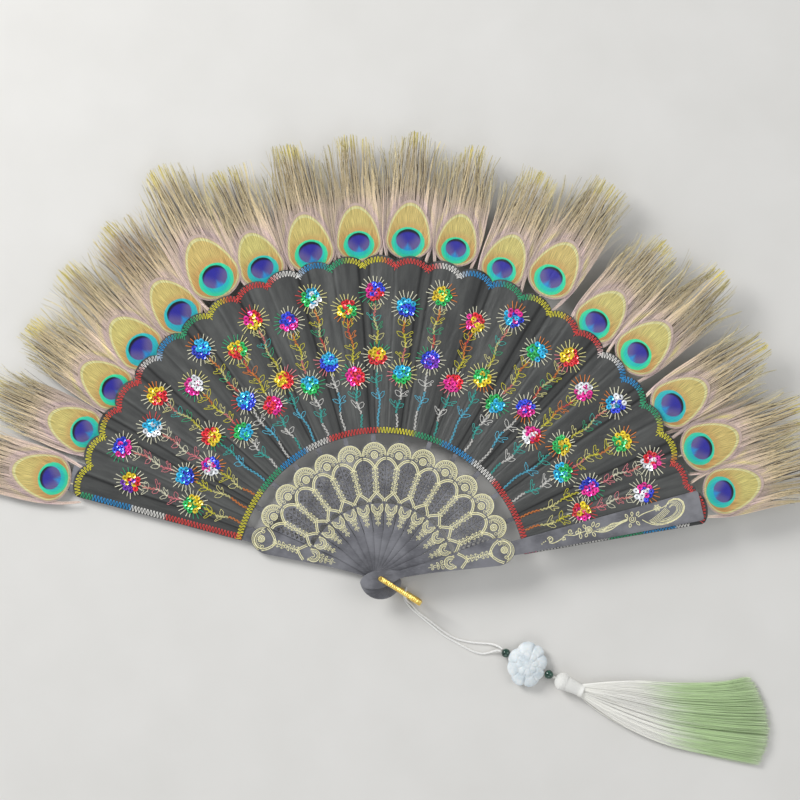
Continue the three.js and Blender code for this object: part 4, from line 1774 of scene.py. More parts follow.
    def rib_strokes(self) -> PrintStrokes:
        """Print of an inner stick: shell medallion, arches, foliage, chevron, rosette and drop.

        Returns:
            The strokes.
        """
        ink = PrintStrokes()
        middle = self.gorge_reach - self.medallion
        wide, tall = self.medallion, self.sector(middle)
        arcs = (0.94, 100, 0.8), (0.84, 100, 0.42), (0.62, 94, 0.56), (0.53, 86, 0.34)
        for share, reach, width in arcs:
            ink.add(bow(middle - 0.3, 0, wide * share, tall * share, -reach, reach), width)
        for turn in np.radians(np.linspace(-88, 88, 15)):
            ray = np.array([wide * math.cos(turn), tall * math.sin(turn)])
            ink.add([middle - 0.3, 0] + np.outer([0.68, 0.79], ray), 0.66)
        ink.add(bow(middle - 0.4, 0, 3.3, 3.6, -72, 72), 0.6)
        ink.add(curl(middle - 1.1, tall * 0.52, 0.35, 1.2, 120, -1.1), 0.36, True)
        self.boss(ink, middle - 0.9, 0, 2.4)
        band = self.oval_band(self.sector(79) - 0.2, 78.9, 72.5, 65)
        chevron = np.array([[50.6, 4.45], [51.9, 4.5], [54.5, 2.2], [56.8, 0]])
        for offset in (0.56, -0.56):
            ink.add(beside(band, offset), 0.76, True)
            ink.add(beside(chevron, offset), 0.66, True)
        self.foliage(ink, 64.8, 1)
        self.rosette(ink, 49.0, 4.75)
        self.drop(ink, 42.6, 1)
        return ink

    def boss(self, ink: PrintStrokes, x: float, y: float, radius: float) -> None:
        """Round boss: an outer ring, an inner ring and a dot."""
        ink.rings(x, y, (radius * 0.9, 0.7), (radius * 0.52, 0.56), (radius * 0.14, 0.6))

    def foliage(self, ink: PrintStrokes, middle: float, size: float) -> None:
        """Filigree along the axis: leaf pairs that grow both ways from a boss, with curls between.

        Args:
            ink: where the strokes go.
            middle: place of the boss.
            size: scale of the motifs.
        """
        ink.rings(middle, 0, (0.9 * size, 0.4))
        for step in (-2.6, -1.6, -0.55, 0.55, 1.6, 2.6):
            sign, x = (1 if step > 0 else -1), middle + 2.5 * size * step
            heading = 90 - sign * 52
            ink.add(leaf_loop(x - sign, 0.15, 2.7 * size, 1.15 * size, heading), 0.3, True)
            ink.add(curl(x + 0.9 * sign, 1.55 * size, 0.08, 0.5 * size, 90, 1.1 * sign), 0.28, True)
            ink.add(leaf_loop(x, 0, 1.6 * size, 0.8 * size, 90 - 90 * sign), 0.3)

    def rosette(self, ink: PrintStrokes, x: float, radius: float) -> None:
        """Rosette under the dome: three rings that open outwards round a crescent, and two horns.

        Args:
            ink: where the strokes go.
            x: its outer edge.
            radius: of the whole rosette.
        """
        middle = x - 0.62 * radius
        for share, width in ((0.8, 0.62), (0.62, 0.34), (0.46, 0.5)):
            ink.add(bow(middle, 0, radius * share, radius * share, 42, 318), width)
        ink.add(bow(middle + 0.1 * radius, 0, radius * 0.22, radius * 0.22, 60, 300), 0.5)
        ink.add(curl(x - 0.1 * radius, 0.72 * radius, 0.2, 0.6, 190, 1.0), 0.34, True)

    def drop(self, ink: PrintStrokes, start: float, size: float) -> None:
        """Scroll that hangs inwards: two curls, a star of leaves and a tail that thins out.

        Args:
            ink: where the strokes go.
            start: its outer end.
            size: scale of the motifs.
        """
        ink.add(np.array([[start + 1.2, 0], [start - 2.2 * size, 0]]), 0.34)
        ink.add(curl(start - 0.9, 1.5 * size, 0.3, 1.05 * size, 200, 1.2), 0.38, True)
        ink.add(leaf_loop(start - 2.6 * size, 0.2, 2 * size, 0.9 * size, 118), 0.34, True)
        ink.add(leaf_loop(start - 3.2 * size, 0, 2.6 * size, 1.1 * size, 180), 0.36)
        ink.add(curl(start - 6.4 * size, 0.95 * size, 0.2, 0.75 * size, 0, -1.1), 0.34, True)
        ink.add(np.array([[start - 5.8 * size, 0], [start - 8.4 * size, 0]]), 0.32)

    def guard_plate(self, thickness: float, slip_base: float) -> list[Form]:
        """Guard along +X: solid gorge plate and widening slip.

        Args:
            thickness: of the gorge plate.
            slip_base: level of the slip's underside over the gorge's.

        Returns:
            Both closed forms, as points and faces.
        """
        shoulder = self.gorge_reach - self.guard_crown
        half = np.vstack([
            bow(shoulder, 0, self.guard_crown, self.guard_shoulder / 2, 0, 90),
            self.guard_neck,
            bow(*self.guard_head, 70, 180),
        ])
        outline = self.mirrored(half)
        gorge = pierced_plate(outline, [self.pin_hole()], 0, thickness, self.guard_bevel)
        root, tip, corner = self.guard_root_width / 2, self.guard_tip / 2, self.guard_corner
        rounded = bow(self.guard_reach - corner, tip - corner, corner, corner, 0, 90)
        slip = self.mirrored(np.vstack([rounded, [[self.guard_slip_root, root]]]))
        upper = slip_base + self.guard_slip
        return [gorge, pierced_plate(slip, [], slip_base, upper, self.guard_bevel)]

    def guard_strokes(self) -> PrintStrokes:
        """Print of a guard's gorge: scrolled end, wide arch, foliage, chevron, rosette and drop.

        Returns:
            The strokes.
        """
        ink = PrintStrokes()
        wide, tall = self.guard_crown, self.guard_shoulder / 2
        shoulder = self.gorge_reach - wide
        ink.add(bow(shoulder, 0, wide * 0.94, tall * 0.94, -66, 66), 0.42)
        ink.add(bow(shoulder, 0, wide * 0.87, tall * 0.86, -58, 60), 0.3)
        ink.add(bow(81.2, 0.6, 6.4, 6, -62, 92), 0.8)
        ink.add(bow(81.2, 0.6, 5.2, 4.9, -50, 80), 0.34)
        ink.add(curl(80.9, 5.0, 0.4, 1.6, 90, 1.2), 0.5)
        ink.add(curl(83.4, -4.9, 0.4, 1.6, 20, -1.3), 0.5)
        self.boss(ink, 83.2, 0.3, 2.3)
        for ray in np.radians(np.linspace(-40, 70, 7)):
            ink.add([81.2, 0.6] + np.outer([3.5, 4.6], [math.cos(ray), math.sin(ray)]), 0.3)
        bands = (
            [[81.0, 7.3], [77.6, 5.4], [74.9, 2.7], [73.8, 0], [75.2, -2.9], [78, -5.8], [81.4, -7.9]],
            [[52.7, 4.9], [55.6, 2.6], [58.2, -0.4], [55.8, -2.8], [53.1, -5.2]],
        )
        for band in bands:
            for offset in (0.56, -0.56):
                ink.add(beside(np.array(band), offset), 0.6)
        self.foliage(ink, 66.4, 1.12)
        self.rosette(ink, 50.2, 5.2)
        self.drop(ink, 42.4, 1.25)
        return ink

    def slip_scroll(self) -> PrintStrokes:
        """Long scroll of the front guard's slip, from three dots to the large feathered curl.

        Returns:
            The strokes.
        """
        ink = PrintStrokes()
        for x, y in ((108.2, -1.4), (109.6, -0.6), (110.9, -0.2)):
            ink.rings(x, y, (0.2, 0.4))
        ink.add(curl(114.3, 0.1, 0.6, 2.1, 30, 1.35), 0.6)
        ink.flow([[113, -1.6], [115.4, -2.5], [119, -1.9], [121.8, -0.9]], 0.6)
        ink.add(curl(123.3, -1.5, 0.3, 1.3, 120, 1.3), 0.5)
        stem = [[122.4, -0.4], [124.6, 0.8], [127, 0.2], [130, -0.6], [133.6, -0.2], [137.6, 0.4]]
        ink.flow(stem, 0.55)
        ink.add(curl(128.3, 2.4, 0.4, 1.9, 250, 1.2), 0.55)
        ink.leaves(
            1.7, 0.5, (134.6, 0.2, 3.2, 100), (134.4, -0.4, 3.4, 262), (131.6, -0.2, 2.4, 50),
            (143, 2.2, 3.4, 60), (145, 1.6, 3.6, 28), (142.4, -1.4, 3.2, 290), (138.4, 2.2, 2.8, 110),
            (138.6, -1.2, 2.6, 240),
        )
        ink.rings(140.3, 0.7, (2.1, 0.6), (1.2, 0.5), (0.4, 0.7))
        lower = np.array([[143, -0.6], [147, -2.4], [151, -3], [155.4, -2.2], [160, -0.4], [166.4, 1]])
        upper = np.array([[150, -2.2], [153.4, 0.4], [156.4, 1.5], [160.2, 1.1], [163.4, 1.6], [167, 2.2]])
        for share in (0, 0.12, 0.5, 0.88, 1):
            ink.flow(lerp(lower, upper, share), 0.42)
        for share in np.linspace(0.08, 0.92, 14):
            barb = np.array([lerp(side[0], side[-1], share) for side in (lower, upper)])
            ink.add(barb + [[0.5, 0.5], [-0.4, -0.5]], 0.3)
        ink.add(curl(169.5, 1.2, 0.4, 2.5, 60, 1.9), 0.5)
        ink.leaves(
            1.5, 0.5, (167, 2.6, 3, 110), (170, 3.4, 2.6, 80), (172, -0.8, 3.4, 300), (173, 2.8, 3, 50),
            (168, -1.4, 2.6, 245),
        )
        crest = np.array([
            [173.6, 1.8], [178, 3.2], [182.6, 3.7], [187.4, 4.4], [192.6, 4.2], [194.6, 6.6], [197.4, 8.1],
            [201.6, 8.0], [204.6, 5.6], [205.2, 2], [203, -2.4], [198.4, -5.2], [191.6, -6.7], [184, -6],
            [179.4, -3.6], [176, -0.6],
        ])
        echoes = (
            (0, 0, 16, 0.6), (0.05, 6, 13, 0.5), (0.1, 4, 15, 0.45), (0.21, 5, 14, 0.34),
            (0.3, 6, 14, 0.34),
        )
        for share, first, last, width in echoes:
            ink.flow(lerp(crest, np.array([194, 0.5]), share)[first:last], width, 6)
        hook = np.array([
            [195, 3.4], [197.2, 4.9], [199.8, 4.6], [200.8, 2.2], [199.4, -0.6], [196.4, -2.8],
            [192.6, -4.2], [187, -4.8],
        ])
        for share in (0, 0.2):
            ink.flow(lerp(hook, np.array([196.4, 1.2]), share), 0.4, 6)
        plume = np.array([[181, -3.4], [186, -1.4], [190, 0.6], [193.4, 2.8]])
        for share in np.linspace(-0.35, 0.75, 5):
            ink.flow(plume + np.array([2.2, -2.4]) * share, 0.34, 6)
        x, y, petal = 187.3, 4.8, 1.1
        ink.rings(x, y, (1.3, 0.5), (0.4, 0.6))
        for turn in range(0, 360, 60):
            root = turned(np.array([petal, 0]), turn) + [x, y]
            ink.add(leaf_loop(*root, 1.2, 0.9, turn), 0.4)
        return ink


@dataclass
class Leaf:
    """Scalloped satin cloth, one piece in each gap between two sticks."""

    layout: FanLayout = field(default_factory=FanLayout)
    rows: int = 84
    column_step: float = 0.24

    def build(self, satin: bpy.types.Material) -> None:
        """Makes the thirteen pieces, each lying between its two sticks.

        Args:
            satin: finish of the cloth.
        """
        layout = self.layout
        cusps = np.linspace(layout.leaf_start, layout.leaf_end, layout.scallops + 1)
        for gap in range(layout.sticks - 1):
            first = layout.leaf_start if gap == 0 else layout.stick_angle(gap)
            last = layout.leaf_end if gap == layout.sticks - 2 else layout.stick_angle(gap + 1)
            even = np.linspace(first, last, round((first - last) / self.column_step) + 1)
            inside = cusps[(cusps < first) & (cusps > last)]
            degrees = np.unique(np.round(np.concatenate([even, inside]), 4))[None, ::-1]
            share = np.linspace(0, 1, self.rows)[:, None]
            reach = lerp(layout.leaf_inner, layout.edge_reach(degrees), share)
            top = polar(reach, degrees, layout.cloth_top(degrees, reach))
            points, faces = shell(top, top - np.array([0, 0, layout.cloth]))
            # the tint is the pleats' painted light and shade
            tone = layout.painted_fold_light(degrees, reach)
            carried = grey(tone), pair(reach / 100, degrees * np.pi / 180 * 1.5)
            sheet = Patchwork()
            sheet.add(points, faces, *(np.concatenate([grid, grid[:, ::-1]], axis=1) for grid in carried))
            cloth = sheet.piece(f"leaf_cloth_{gap + 1:02d}", satin, outward=True, crease=60)
            layout.across_gap(cloth, gap)
            gores = (gap + 1, layout.sticks) if gap == layout.sticks - 2 else (gap + 1,)
            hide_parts(*(f"leaf_gore_{gore:02d}" for gore in gores))
            self.declare(math.radians(first - last), gap)

    def declare(self, angle: float, gap: int) -> None:
        """Forms the names of the two sticks beside a piece, and does nothing more with them.

        Args:
            angle: not used.
            gap: its gap.
        """
        layout = self.layout
        f"{layout.body(gap)}_stick"
        f"{layout.body(gap + 1)}_stick"


Bands = tuple[tuple[float, str], ...]
Flowers = tuple[tuple[int, int, str], ...]


class Thread(Enum):
    """Embroidery yarn colours."""

    YELLOW = "E8DF3E"
    RED = "E84A45"
    MAGENTA = "E8357F"
    ORANGE = "F08A35"
    WHITE = "F1EFE9"
    BLUE = "2C9BDB"
    GREEN = "35B27C"
    CORAL = "F28E86"
    TEAL = "3FC0B4"
    STRAW = "F2EBA0"
    PALE = "F3F0D2"
    PINK = "F08A92"
    CYAN = "66CDEB"


class Foil(Enum):
    """Sequin colours."""

    RED = "E8232F"
    YELLOW = "F2D21E"
    PURPLE = "7A2FC0"
    MAGENTA = "F0219A"
    BLUE = "2440DC"
    WHITE = "F4F6FA"
    CYAN = "22B6E6"
    GREEN = "22BE5C"


def palette(store: type[Enum], names: str) -> Array:
    """Linear colours of named threads or foils, in the order of the names."""
    return np.array([linear(store[name.upper()].value) for name in names.split()])


@dataclass
class Embroidery:
    """Rainbow edging, stems with leaves, and flowers of sequins and straight stitches.

    Each colour of the edging is held with the lowest angle or reach that it covers, and each flower
    with its column and row in the photograph and its foils.
    """

    layout: FanLayout = field(default_factory=FanLayout)
    outer_colours: Bands = (
        (150, "yellow"), (139, "red"), (135, "white"), (131, "blue"), (125, "green"), (119.5, "yellow"),
        (109.5, "red"), (104.5, "white"), (100.4, "blue"), (96.3, "green"), (89.6, "yellow"), (79.6, "red"),
        (74.5, "white"), (67.6, "blue"), (61.7, "green"), (54.6, "yellow"), (46.3, "red"), (41.6, "white"),
        (36.4, "blue"), (29.7, "green"), (22.5, "yellow"), (0, "red"),
    )
    inner_colours: Bands = (
        (144, "yellow"), (132.5, "green"), (120, "blue"), (110.6, "white"), (91, "red"), (77, "yellow"),
        (66, "green"), (52, "blue"), (41, "white"), (0, "red"),
    )
    left_colours: Bands = ((198, "green"), (171.6, "blue"), (148.5, "white"), (0, "red"))
    right_colours: Bands = ((197, "white"), (175, "blue"), (152, "green"), (104, "white"), (0, "magenta"))
    outer_flowers: Flowers = (
        (130, 482, "red yellow purple"), (122, 447, "magenta blue"), (152, 428, "white cyan"),
        (157, 396, "yellow red"), (194, 385, "magenta white"), (201, 349, "blue cyan"),
        (237, 350, "green yellow red"), (253, 320, "red magenta yellow"), (289, 322, "magenta blue"),
        (311, 298, "white cyan green"), (347, 309, "yellow green red"), (375, 291, "magenta red blue"),
        (406, 307, "cyan blue"), (442, 296, "green yellow"), (475, 323, "red magenta yellow"),
        (513, 318, "blue magenta cyan"), (536, 352, "cyan green"), (569, 357, "red yellow"),
        (583, 391, "magenta white"), (615, 403, "cyan blue white"), (621, 441, "yellow green"),
        (650, 461, "magenta red white"), (643, 492, "blue magenta white"),
    )
    inner_flowers: Flowers = (
        (192, 504, "yellow green"), (185, 476, "cyan blue"), (210, 466, "blue magenta white"),
        (211, 436, "red yellow"), (243, 432, "green cyan"), (246, 401, "blue cyan"),
        (273, 405, "magenta red"), (284, 380, "red yellow"), (310, 385, "green cyan"),
        (329, 362, "blue cyan"), (355, 376, "magenta red"), (377, 356, "red yellow"),
        (402, 374, "green cyan"), (430, 360, "blue purple"), (453, 383, "red magenta"),
        (482, 378, "yellow green"), (495, 404, "green cyan"), (525, 408, "blue magenta"),
        (531, 435, "red magenta white"), (561, 445, "green yellow"), (562, 472, "cyan green"),
        (589, 487, "blue magenta"), (581, 511, "red magenta yellow"),
    )
    colour_blend: float = 0.9
    stitch_pitch: float = 1.04
    outer_stitch: float = 3.7
    inner_stitch: float = 3.8
    inner_hem: float = 2.3
    left_stitch: tuple[float, float] = (3.8, -2.2)
    right_stitch: tuple[float, float] = (1.9, 1.2)
    edge_thread: float = 0.25
    stem_thread: float = 0.16
    leaf_thread: float = 0.15
    sequin_radius: float = 1.85
    sequin_depth: float = 1.3
    sequin_sides: int = 10
    sequin_profile: tuple[tuple[float, float], ...] = (
        (0.26, 0.16), (0.62, 0.1), (1.0, 0.3), (0.98, 0.22), (0.3, 0.02),
    )
    outer_size: float = 0.97
    inner_size: float = 0.92
    ring_radius: float = 5.1
    ring_count: int = 9
    inner_count: int = 5
    inner_ring: float = 2.5
    ray_root: float = 6.4
    ray_tip: float = 10.8
    ray_count: int = 21
    stem_points: int = 42
    stem_wave: float = 2.6
    stem_clear: float = 8
    stem_foot: float = 4.6
    upper_leaves: tuple[float, ...] = (0.16, 0.42, 0.66, 0.9)
    lower_leaves: tuple[float, ...] = (0.24, 0.52)

    def __post_init__(self) -> None:
        """Starts the basket of threads, and seeds the hand's unevenness."""
        self.random = np.random.default_rng(11)
        self.threads: list[tuple[Array, Array, Array, float]] = []
        self.discs: list[tuple[Array, Array, Array]] = []

    def pick(self, table: Bands, value: Array) -> Array:
        """Looks up the variegated thread's colours, which run into each other where they meet.

        Args:
            table: each colour with the lowest value that it covers, in falling order.
            value: angles or reaches.

        Returns:
            A linear colour for each value.
        """
        low = np.array([limit for limit, _ in table][::-1])
        high = np.append(low[1:], low[-1] + 30)
        soft = np.minimum(self.colour_blend, (high - low) / 3)
        knots = pair(low + soft, high - soft).ravel()
        colours = palette(Thread, " ".join(name for _, name in table[::-1]))
        channels = np.repeat(colours, 2, axis=0).T
        return np.stack([np.interp(value, knots, channel) for channel in channels], axis=-1)

    def sew(self, plan: Array, tint: Array, gap: Any, radius: float, arch: float) -> None:
        """Lays threads on the cloth.

        Each follows the cloth's own height, and rises between its ends by arch x sin(pi t).

        Args:
            plan: paths in x and y (count, points, 2).
            tint: a colour for each thread.
            gap: the gap whose piece holds each thread.
            radius: half thickness.
            arch: how far a thread lifts off the cloth.
        """
        t = np.linspace(0, 1, plan.shape[1])
        cloth = self.layout.cloth_top(angle_of(plan), reach_of(plan))
        height = cloth + radius * 0.7 + arch * np.sin(np.pi * t)
        paths = np.concatenate([plan, height[..., None]], axis=-1)
        self.threads.append((paths, tint, np.broadcast_to(gap, len(plan)), radius))

    def gap_of(self, plan: Array) -> Array:
        """Gap that holds each point in x and y."""
        return self.layout.gap(angle_of(plan))[0]

    def zigzag(
        self, line: Array, table: Bands, measure: Callable, length: float, shift: float = 0
    ) -> None:
        """Sews slanting stitches across a line.

        Args:
            line: the line's points (n, 2), close together.
            table: the thread's colours along it.
            measure: gives the angle or the reach of a point, whichever the table goes by.
            length: length of a stitch.
            shift: how far the stitches lie to the line's left.
        """
        steps = np.linalg.norm(np.diff(line, axis=0), axis=1).sum() / self.stitch_pitch
        middle = resampled(line, int(steps))
        along = np.gradient(middle, axis=0)
        along /= np.linalg.norm(along, axis=1, keepdims=True)
        across = pair(-along[:, 1], along[:, 0])
        slant = np.where(np.arange(len(middle)) % 2, 1, -1)[:, None, None] * 0.3
        t = np.linspace(-1, 1, 6)[None, :, None]
        reach = length / 2 * self.random.uniform(0.9, 1.08, (len(middle), 1, 1))
        plan = middle[:, None] + (t * reach + shift) * across[:, None] + t * slant * along[:, None]
        tint = self.pick(table, measure(middle)) * self.random.uniform(0.8, 1.12, (len(middle), 1))
        self.sew(plan, tint, self.gap_of(middle), self.edge_thread, 0.22)

    def edge_all(self) -> None:
        """Sews the edging round the whole leaf."""
        layout = self.layout
        degrees = np.linspace(layout.leaf_start - 0.5, layout.leaf_end + 0.5, 6000)
        hem = 2.6 + 0.8 * np.clip(np.sin(np.radians(degrees) * 5 + 1), 0, 1)
        outer = polar(layout.edge_reach(degrees) - hem, degrees, 0)[:, :2]
        self.zigzag(outer, self.outer_colours, angle_of, self.outer_stitch)
        inner = polar(layout.leaf_inner + self.inner_hem, degrees, 0)[:, :2]
        self.zigzag(inner, self.inner_colours, angle_of, self.inner_stitch)
        reach = np.linspace(layout.leaf_inner + 1, layout.cusp, 2000)
        left, right = (polar(reach, end, 0)[:, :2] for end in (layout.leaf_start, layout.leaf_end))
        self.zigzag(left, self.left_colours, reach_of, *self.left_stitch)
        self.zigzag(right, self.right_colours, reach_of, *self.right_stitch)

    def flower(self, middle: Array, names: str, gap: int, size: float) -> None:
        """Sews one flower: a ring of sequins round a middle one, and straight stitches round it.

        Args:
            middle: its place in x and y.
            names: its foil colours, in order round the ring.
            gap: the gap that holds it.
            size: its scale.
        """
        colours, whole = palette(Foil, names), 2 * np.pi
        spin = self.random.uniform(0, whole)
        turn = spin + whole * np.arange(self.ring_count) / self.ring_count
        ring = pair(np.cos(turn), np.sin(turn)) * self.ring_radius * size
        ring = ring * self.random.uniform(0.9, 1.08, (len(ring), 1))
        step = np.arange(self.inner_count)
        turn = spin + 0.4 + whole * step / self.inner_count
        inner = pair(np.cos(turn), np.sin(turn)) * self.inner_ring * size
        sector = (np.arange(self.ring_count) * len(colours) // self.ring_count) % len(colours)
        tint = np.concatenate([colours[sector], colours[(step + 1) % len(colours)], colours[-1:]])
        tint = tint * self.random.uniform(0.7, 1.25, (len(tint), 1))
        places = middle + np.concatenate([ring, inner, np.zeros((1, 2))])
        places = places + self.random.normal(0, 0.28, places.shape)
        self.discs.append((places, tint, np.full(len(places), gap)))
        uneven = np.arange(self.ray_count) + self.random.uniform(-0.2, 0.2, self.ray_count)
        rays = spin + whole * uneven / self.ray_count
        heading = pair(np.cos(rays), np.sin(rays))[:, None]
        far = (self.ray_tip + self.random.uniform(-1.3, 0.9, self.ray_count))[:, None, None] * size
        t = np.linspace(0, 1, 6)[None, :, None]
        plan = middle + heading * lerp(self.ray_root * size, far, t)
        other = np.cos(rays - spin - self.random.uniform(0, 6)) > 0.7
        rows = (palette(Thread, names) for names in ("pink red green orange", "straw pale pale"))
        few, many = (row[self.random.integers(len(row))] for row in rows)
        tint = np.where(other[:, None], few, many)
        tint = tint * self.random.uniform(0.85, 1.1, (self.ray_count, 1))
        self.sew(plan, tint, gap, self.edge_thread, 0.28)

    def stem(
        self, start: Array, end: Array, hues: Array, leaf_hues: Array, leaves: tuple[float, ...], gap: int
    ) -> None:
        """Sews a wavy stem from start to end, with a pair of leaves at each given share.

        The stem goes a x triangle wave to its sides and sways once or twice on its way, in as many
        lengths as it has hues. One leaf of a pair is a plain loop, the other is crimped by a sine.

        Args:
            start: upper end in x and y.
            end: lower end.
            hues: its threads' colours, from the upper end down.
            leaf_hues: colours of the leaves, one after another.
            leaves: shares along the stem.
            gap: the gap that holds it.
        """
        line = end - start
        length = np.linalg.norm(line)
        heading = line / length
        side = np.array([-heading[1], heading[0]])
        t = np.linspace(0, 1, self.stem_points * len(hues))
        sway = 1.3 * np.sin(np.pi * t) * np.sin(2.2 * np.pi * t + start[0])
        for strand in range(2):
            phase = 2 * np.pi * t * length / self.stem_wave + 1.9 * strand
            wave = (0.62 + 0.2 * strand) * np.arcsin(np.sin(phase)) / (np.pi / 2)
            plan = start + line * t[:, None] + (sway + wave)[:, None] * side
            plan = plan.reshape(len(hues), self.stem_points, 2)
            self.sew(plan, hues * (1 - 0.2 * strand), gap, self.stem_thread, 0.1)
        crimp = 1 + 0.34 * np.sin(np.linspace(0, 6 * np.pi, 24))[:, None]
        back = math.degrees(math.atan2(-heading[1], -heading[0]))
        for number, share in enumerate(leaves):
            base = start + line * share + side * float(np.interp(share, t, sway))
            hue = leaf_hues[number % len(leaf_hues)]
            plain = 1 if self.random.random() < 0.5 else -1
            for sign in (1, -1):
                turn = back + sign * self.random.uniform(30, 62)
                loop = leaf_loop(0, 0, self.random.uniform(4.8, 6.4), self.random.uniform(2, 3), turn)
                loop = loop * (1 if sign == plain else crimp)
                loop = loop + self.random.normal(0, 0.12, loop.shape) + base
                self.sew(smooth_route(loop, 2)[None], hue[None], gap, self.leaf_thread, 0.12)

    def plant(self) -> None:
        """Sews every column: outer flower, stem, inner flower, and the stem down to the inner edge."""
        layout = self.layout
        warm = "orange yellow coral", "coral straw yellow", "red orange yellow", "orange straw red"
        leafy = "yellow yellow straw", "straw teal green", "yellow orange yellow", "straw yellow green"
        cool = "white teal white", "teal cyan cyan", "teal white teal", "white cyan white"
        last = len(self.outer_flowers) - 3
        for number, (outer, inner) in enumerate(zip(self.outer_flowers, self.inner_flowers)):
            far, near = layout.photo_point(*outer[:2]), layout.photo_point(*inner[:2])
            gap_far, gap_near = int(self.gap_of(far)), int(self.gap_of(near))
            self.flower(far, outer[2], gap_far, self.outer_size)
            self.flower(near, inner[2], gap_near, self.inner_size)
            down = (near - far) / np.linalg.norm(near - far) * self.stem_clear
            upper, leaves, lower = (names[number * 3 % 4] for names in (warm, leafy, cool))
            if number < 3 or number > last:
                upper, leaves, lower = "coral pale pink", "pale pink", "yellow straw orange"
            hues = palette(Thread, upper), palette(Thread, leaves)
            self.stem(far + down, near - down, *hues, self.upper_leaves, gap_near)
            foot = polar(layout.leaf_inner + self.stem_foot, angle_of(near), 0)[:2]
            home = (foot - near) / np.linalg.norm(foot - near) * self.stem_clear
            hues = palette(Thread, lower)
            self.stem(near + home, foot, hues, hues[:2], self.lower_leaves, gap_near)

    def sequin_meshes(self, sheet: Patchwork, places: Array, tint: Array) -> None:
        """Adds cupped sequins with a hole, each tilted a little its own way.

        The profile (hole rim, cup, outer rim, underside) is carried round the middle.

        Args:
            sheet: the mesh that takes them.
            places: their middles in x and y.
            tint: their colours.
        """
        sides, count = self.sequin_sides, len(places)
        profile = np.array(self.sequin_profile)
        turn = 2 * np.pi * np.arange(sides) / sides
        r, z = profile[:, :1], profile[:, 1:]
        disc = np.stack([r * np.cos(turn), r * np.sin(turn), z + 0 * turn], axis=-1)
        disc = disc * np.array([self.sequin_radius, self.sequin_radius, self.sequin_depth])
        tilt = self.random.uniform(-0.26, 0.26, (count, 2, 1, 1))
        grid = np.repeat(disc[None], count, axis=0)
        grid[..., 2] += tilt[:, 0] * grid[..., 0] + tilt[:, 1] * grid[..., 1]
        cloth = self.layout.cloth_top(angle_of(places), reach_of(places))
        lift = cloth + 0.3 + self.random.uniform(0, 0.25, count)
        grid = grid + np.column_stack([places, lift])[:, None, None]
        rings = len(profile)
        quads = grid_faces(rings + 1, sides, True) % (rings * sides)
        start = (np.arange(count) * rings * sides)[:, None, None]
        sheet.add(grid, [(quads[None] + start).reshape(-1, 4)[:, ::-1]], tint)

    def build(self, thread: bpy.types.Material, foil: bpy.types.Material) -> None:
        """Sews everything, then makes one mesh of threads and one of sequins for each gap.

        Args:
            thread: finish of the threads.
            foil: finish of the sequins.
        """
        self.edge_all()
        self.plant()
        places, tints, gaps = (np.concatenate(parts) for parts in zip(*self.discs))
        for gap in range(self.layout.sticks - 1):
            sheet = Patchwork()
            for paths, tint, held, radius in self.threads:
                mine = held == gap
                if mine.any():
                    points, faces = tubes(paths[mine], radius, radius * 0.8, 4)
                    sheet.add(points, faces, np.broadcast_to(tint, (len(held), 3))[mine])
            self.layout.across_gap(sheet.piece(f"embroidery_{gap + 1:02d}", thread), gap)
            if (gaps == gap).any():
                sheet = Patchwork()
                self.sequin_meshes(sheet, places[gaps == gap], tints[gaps == gap])
                self.layout.across_gap(sheet.piece(f"sequins_{gap + 1:02d}", foil, crease=25), gap)


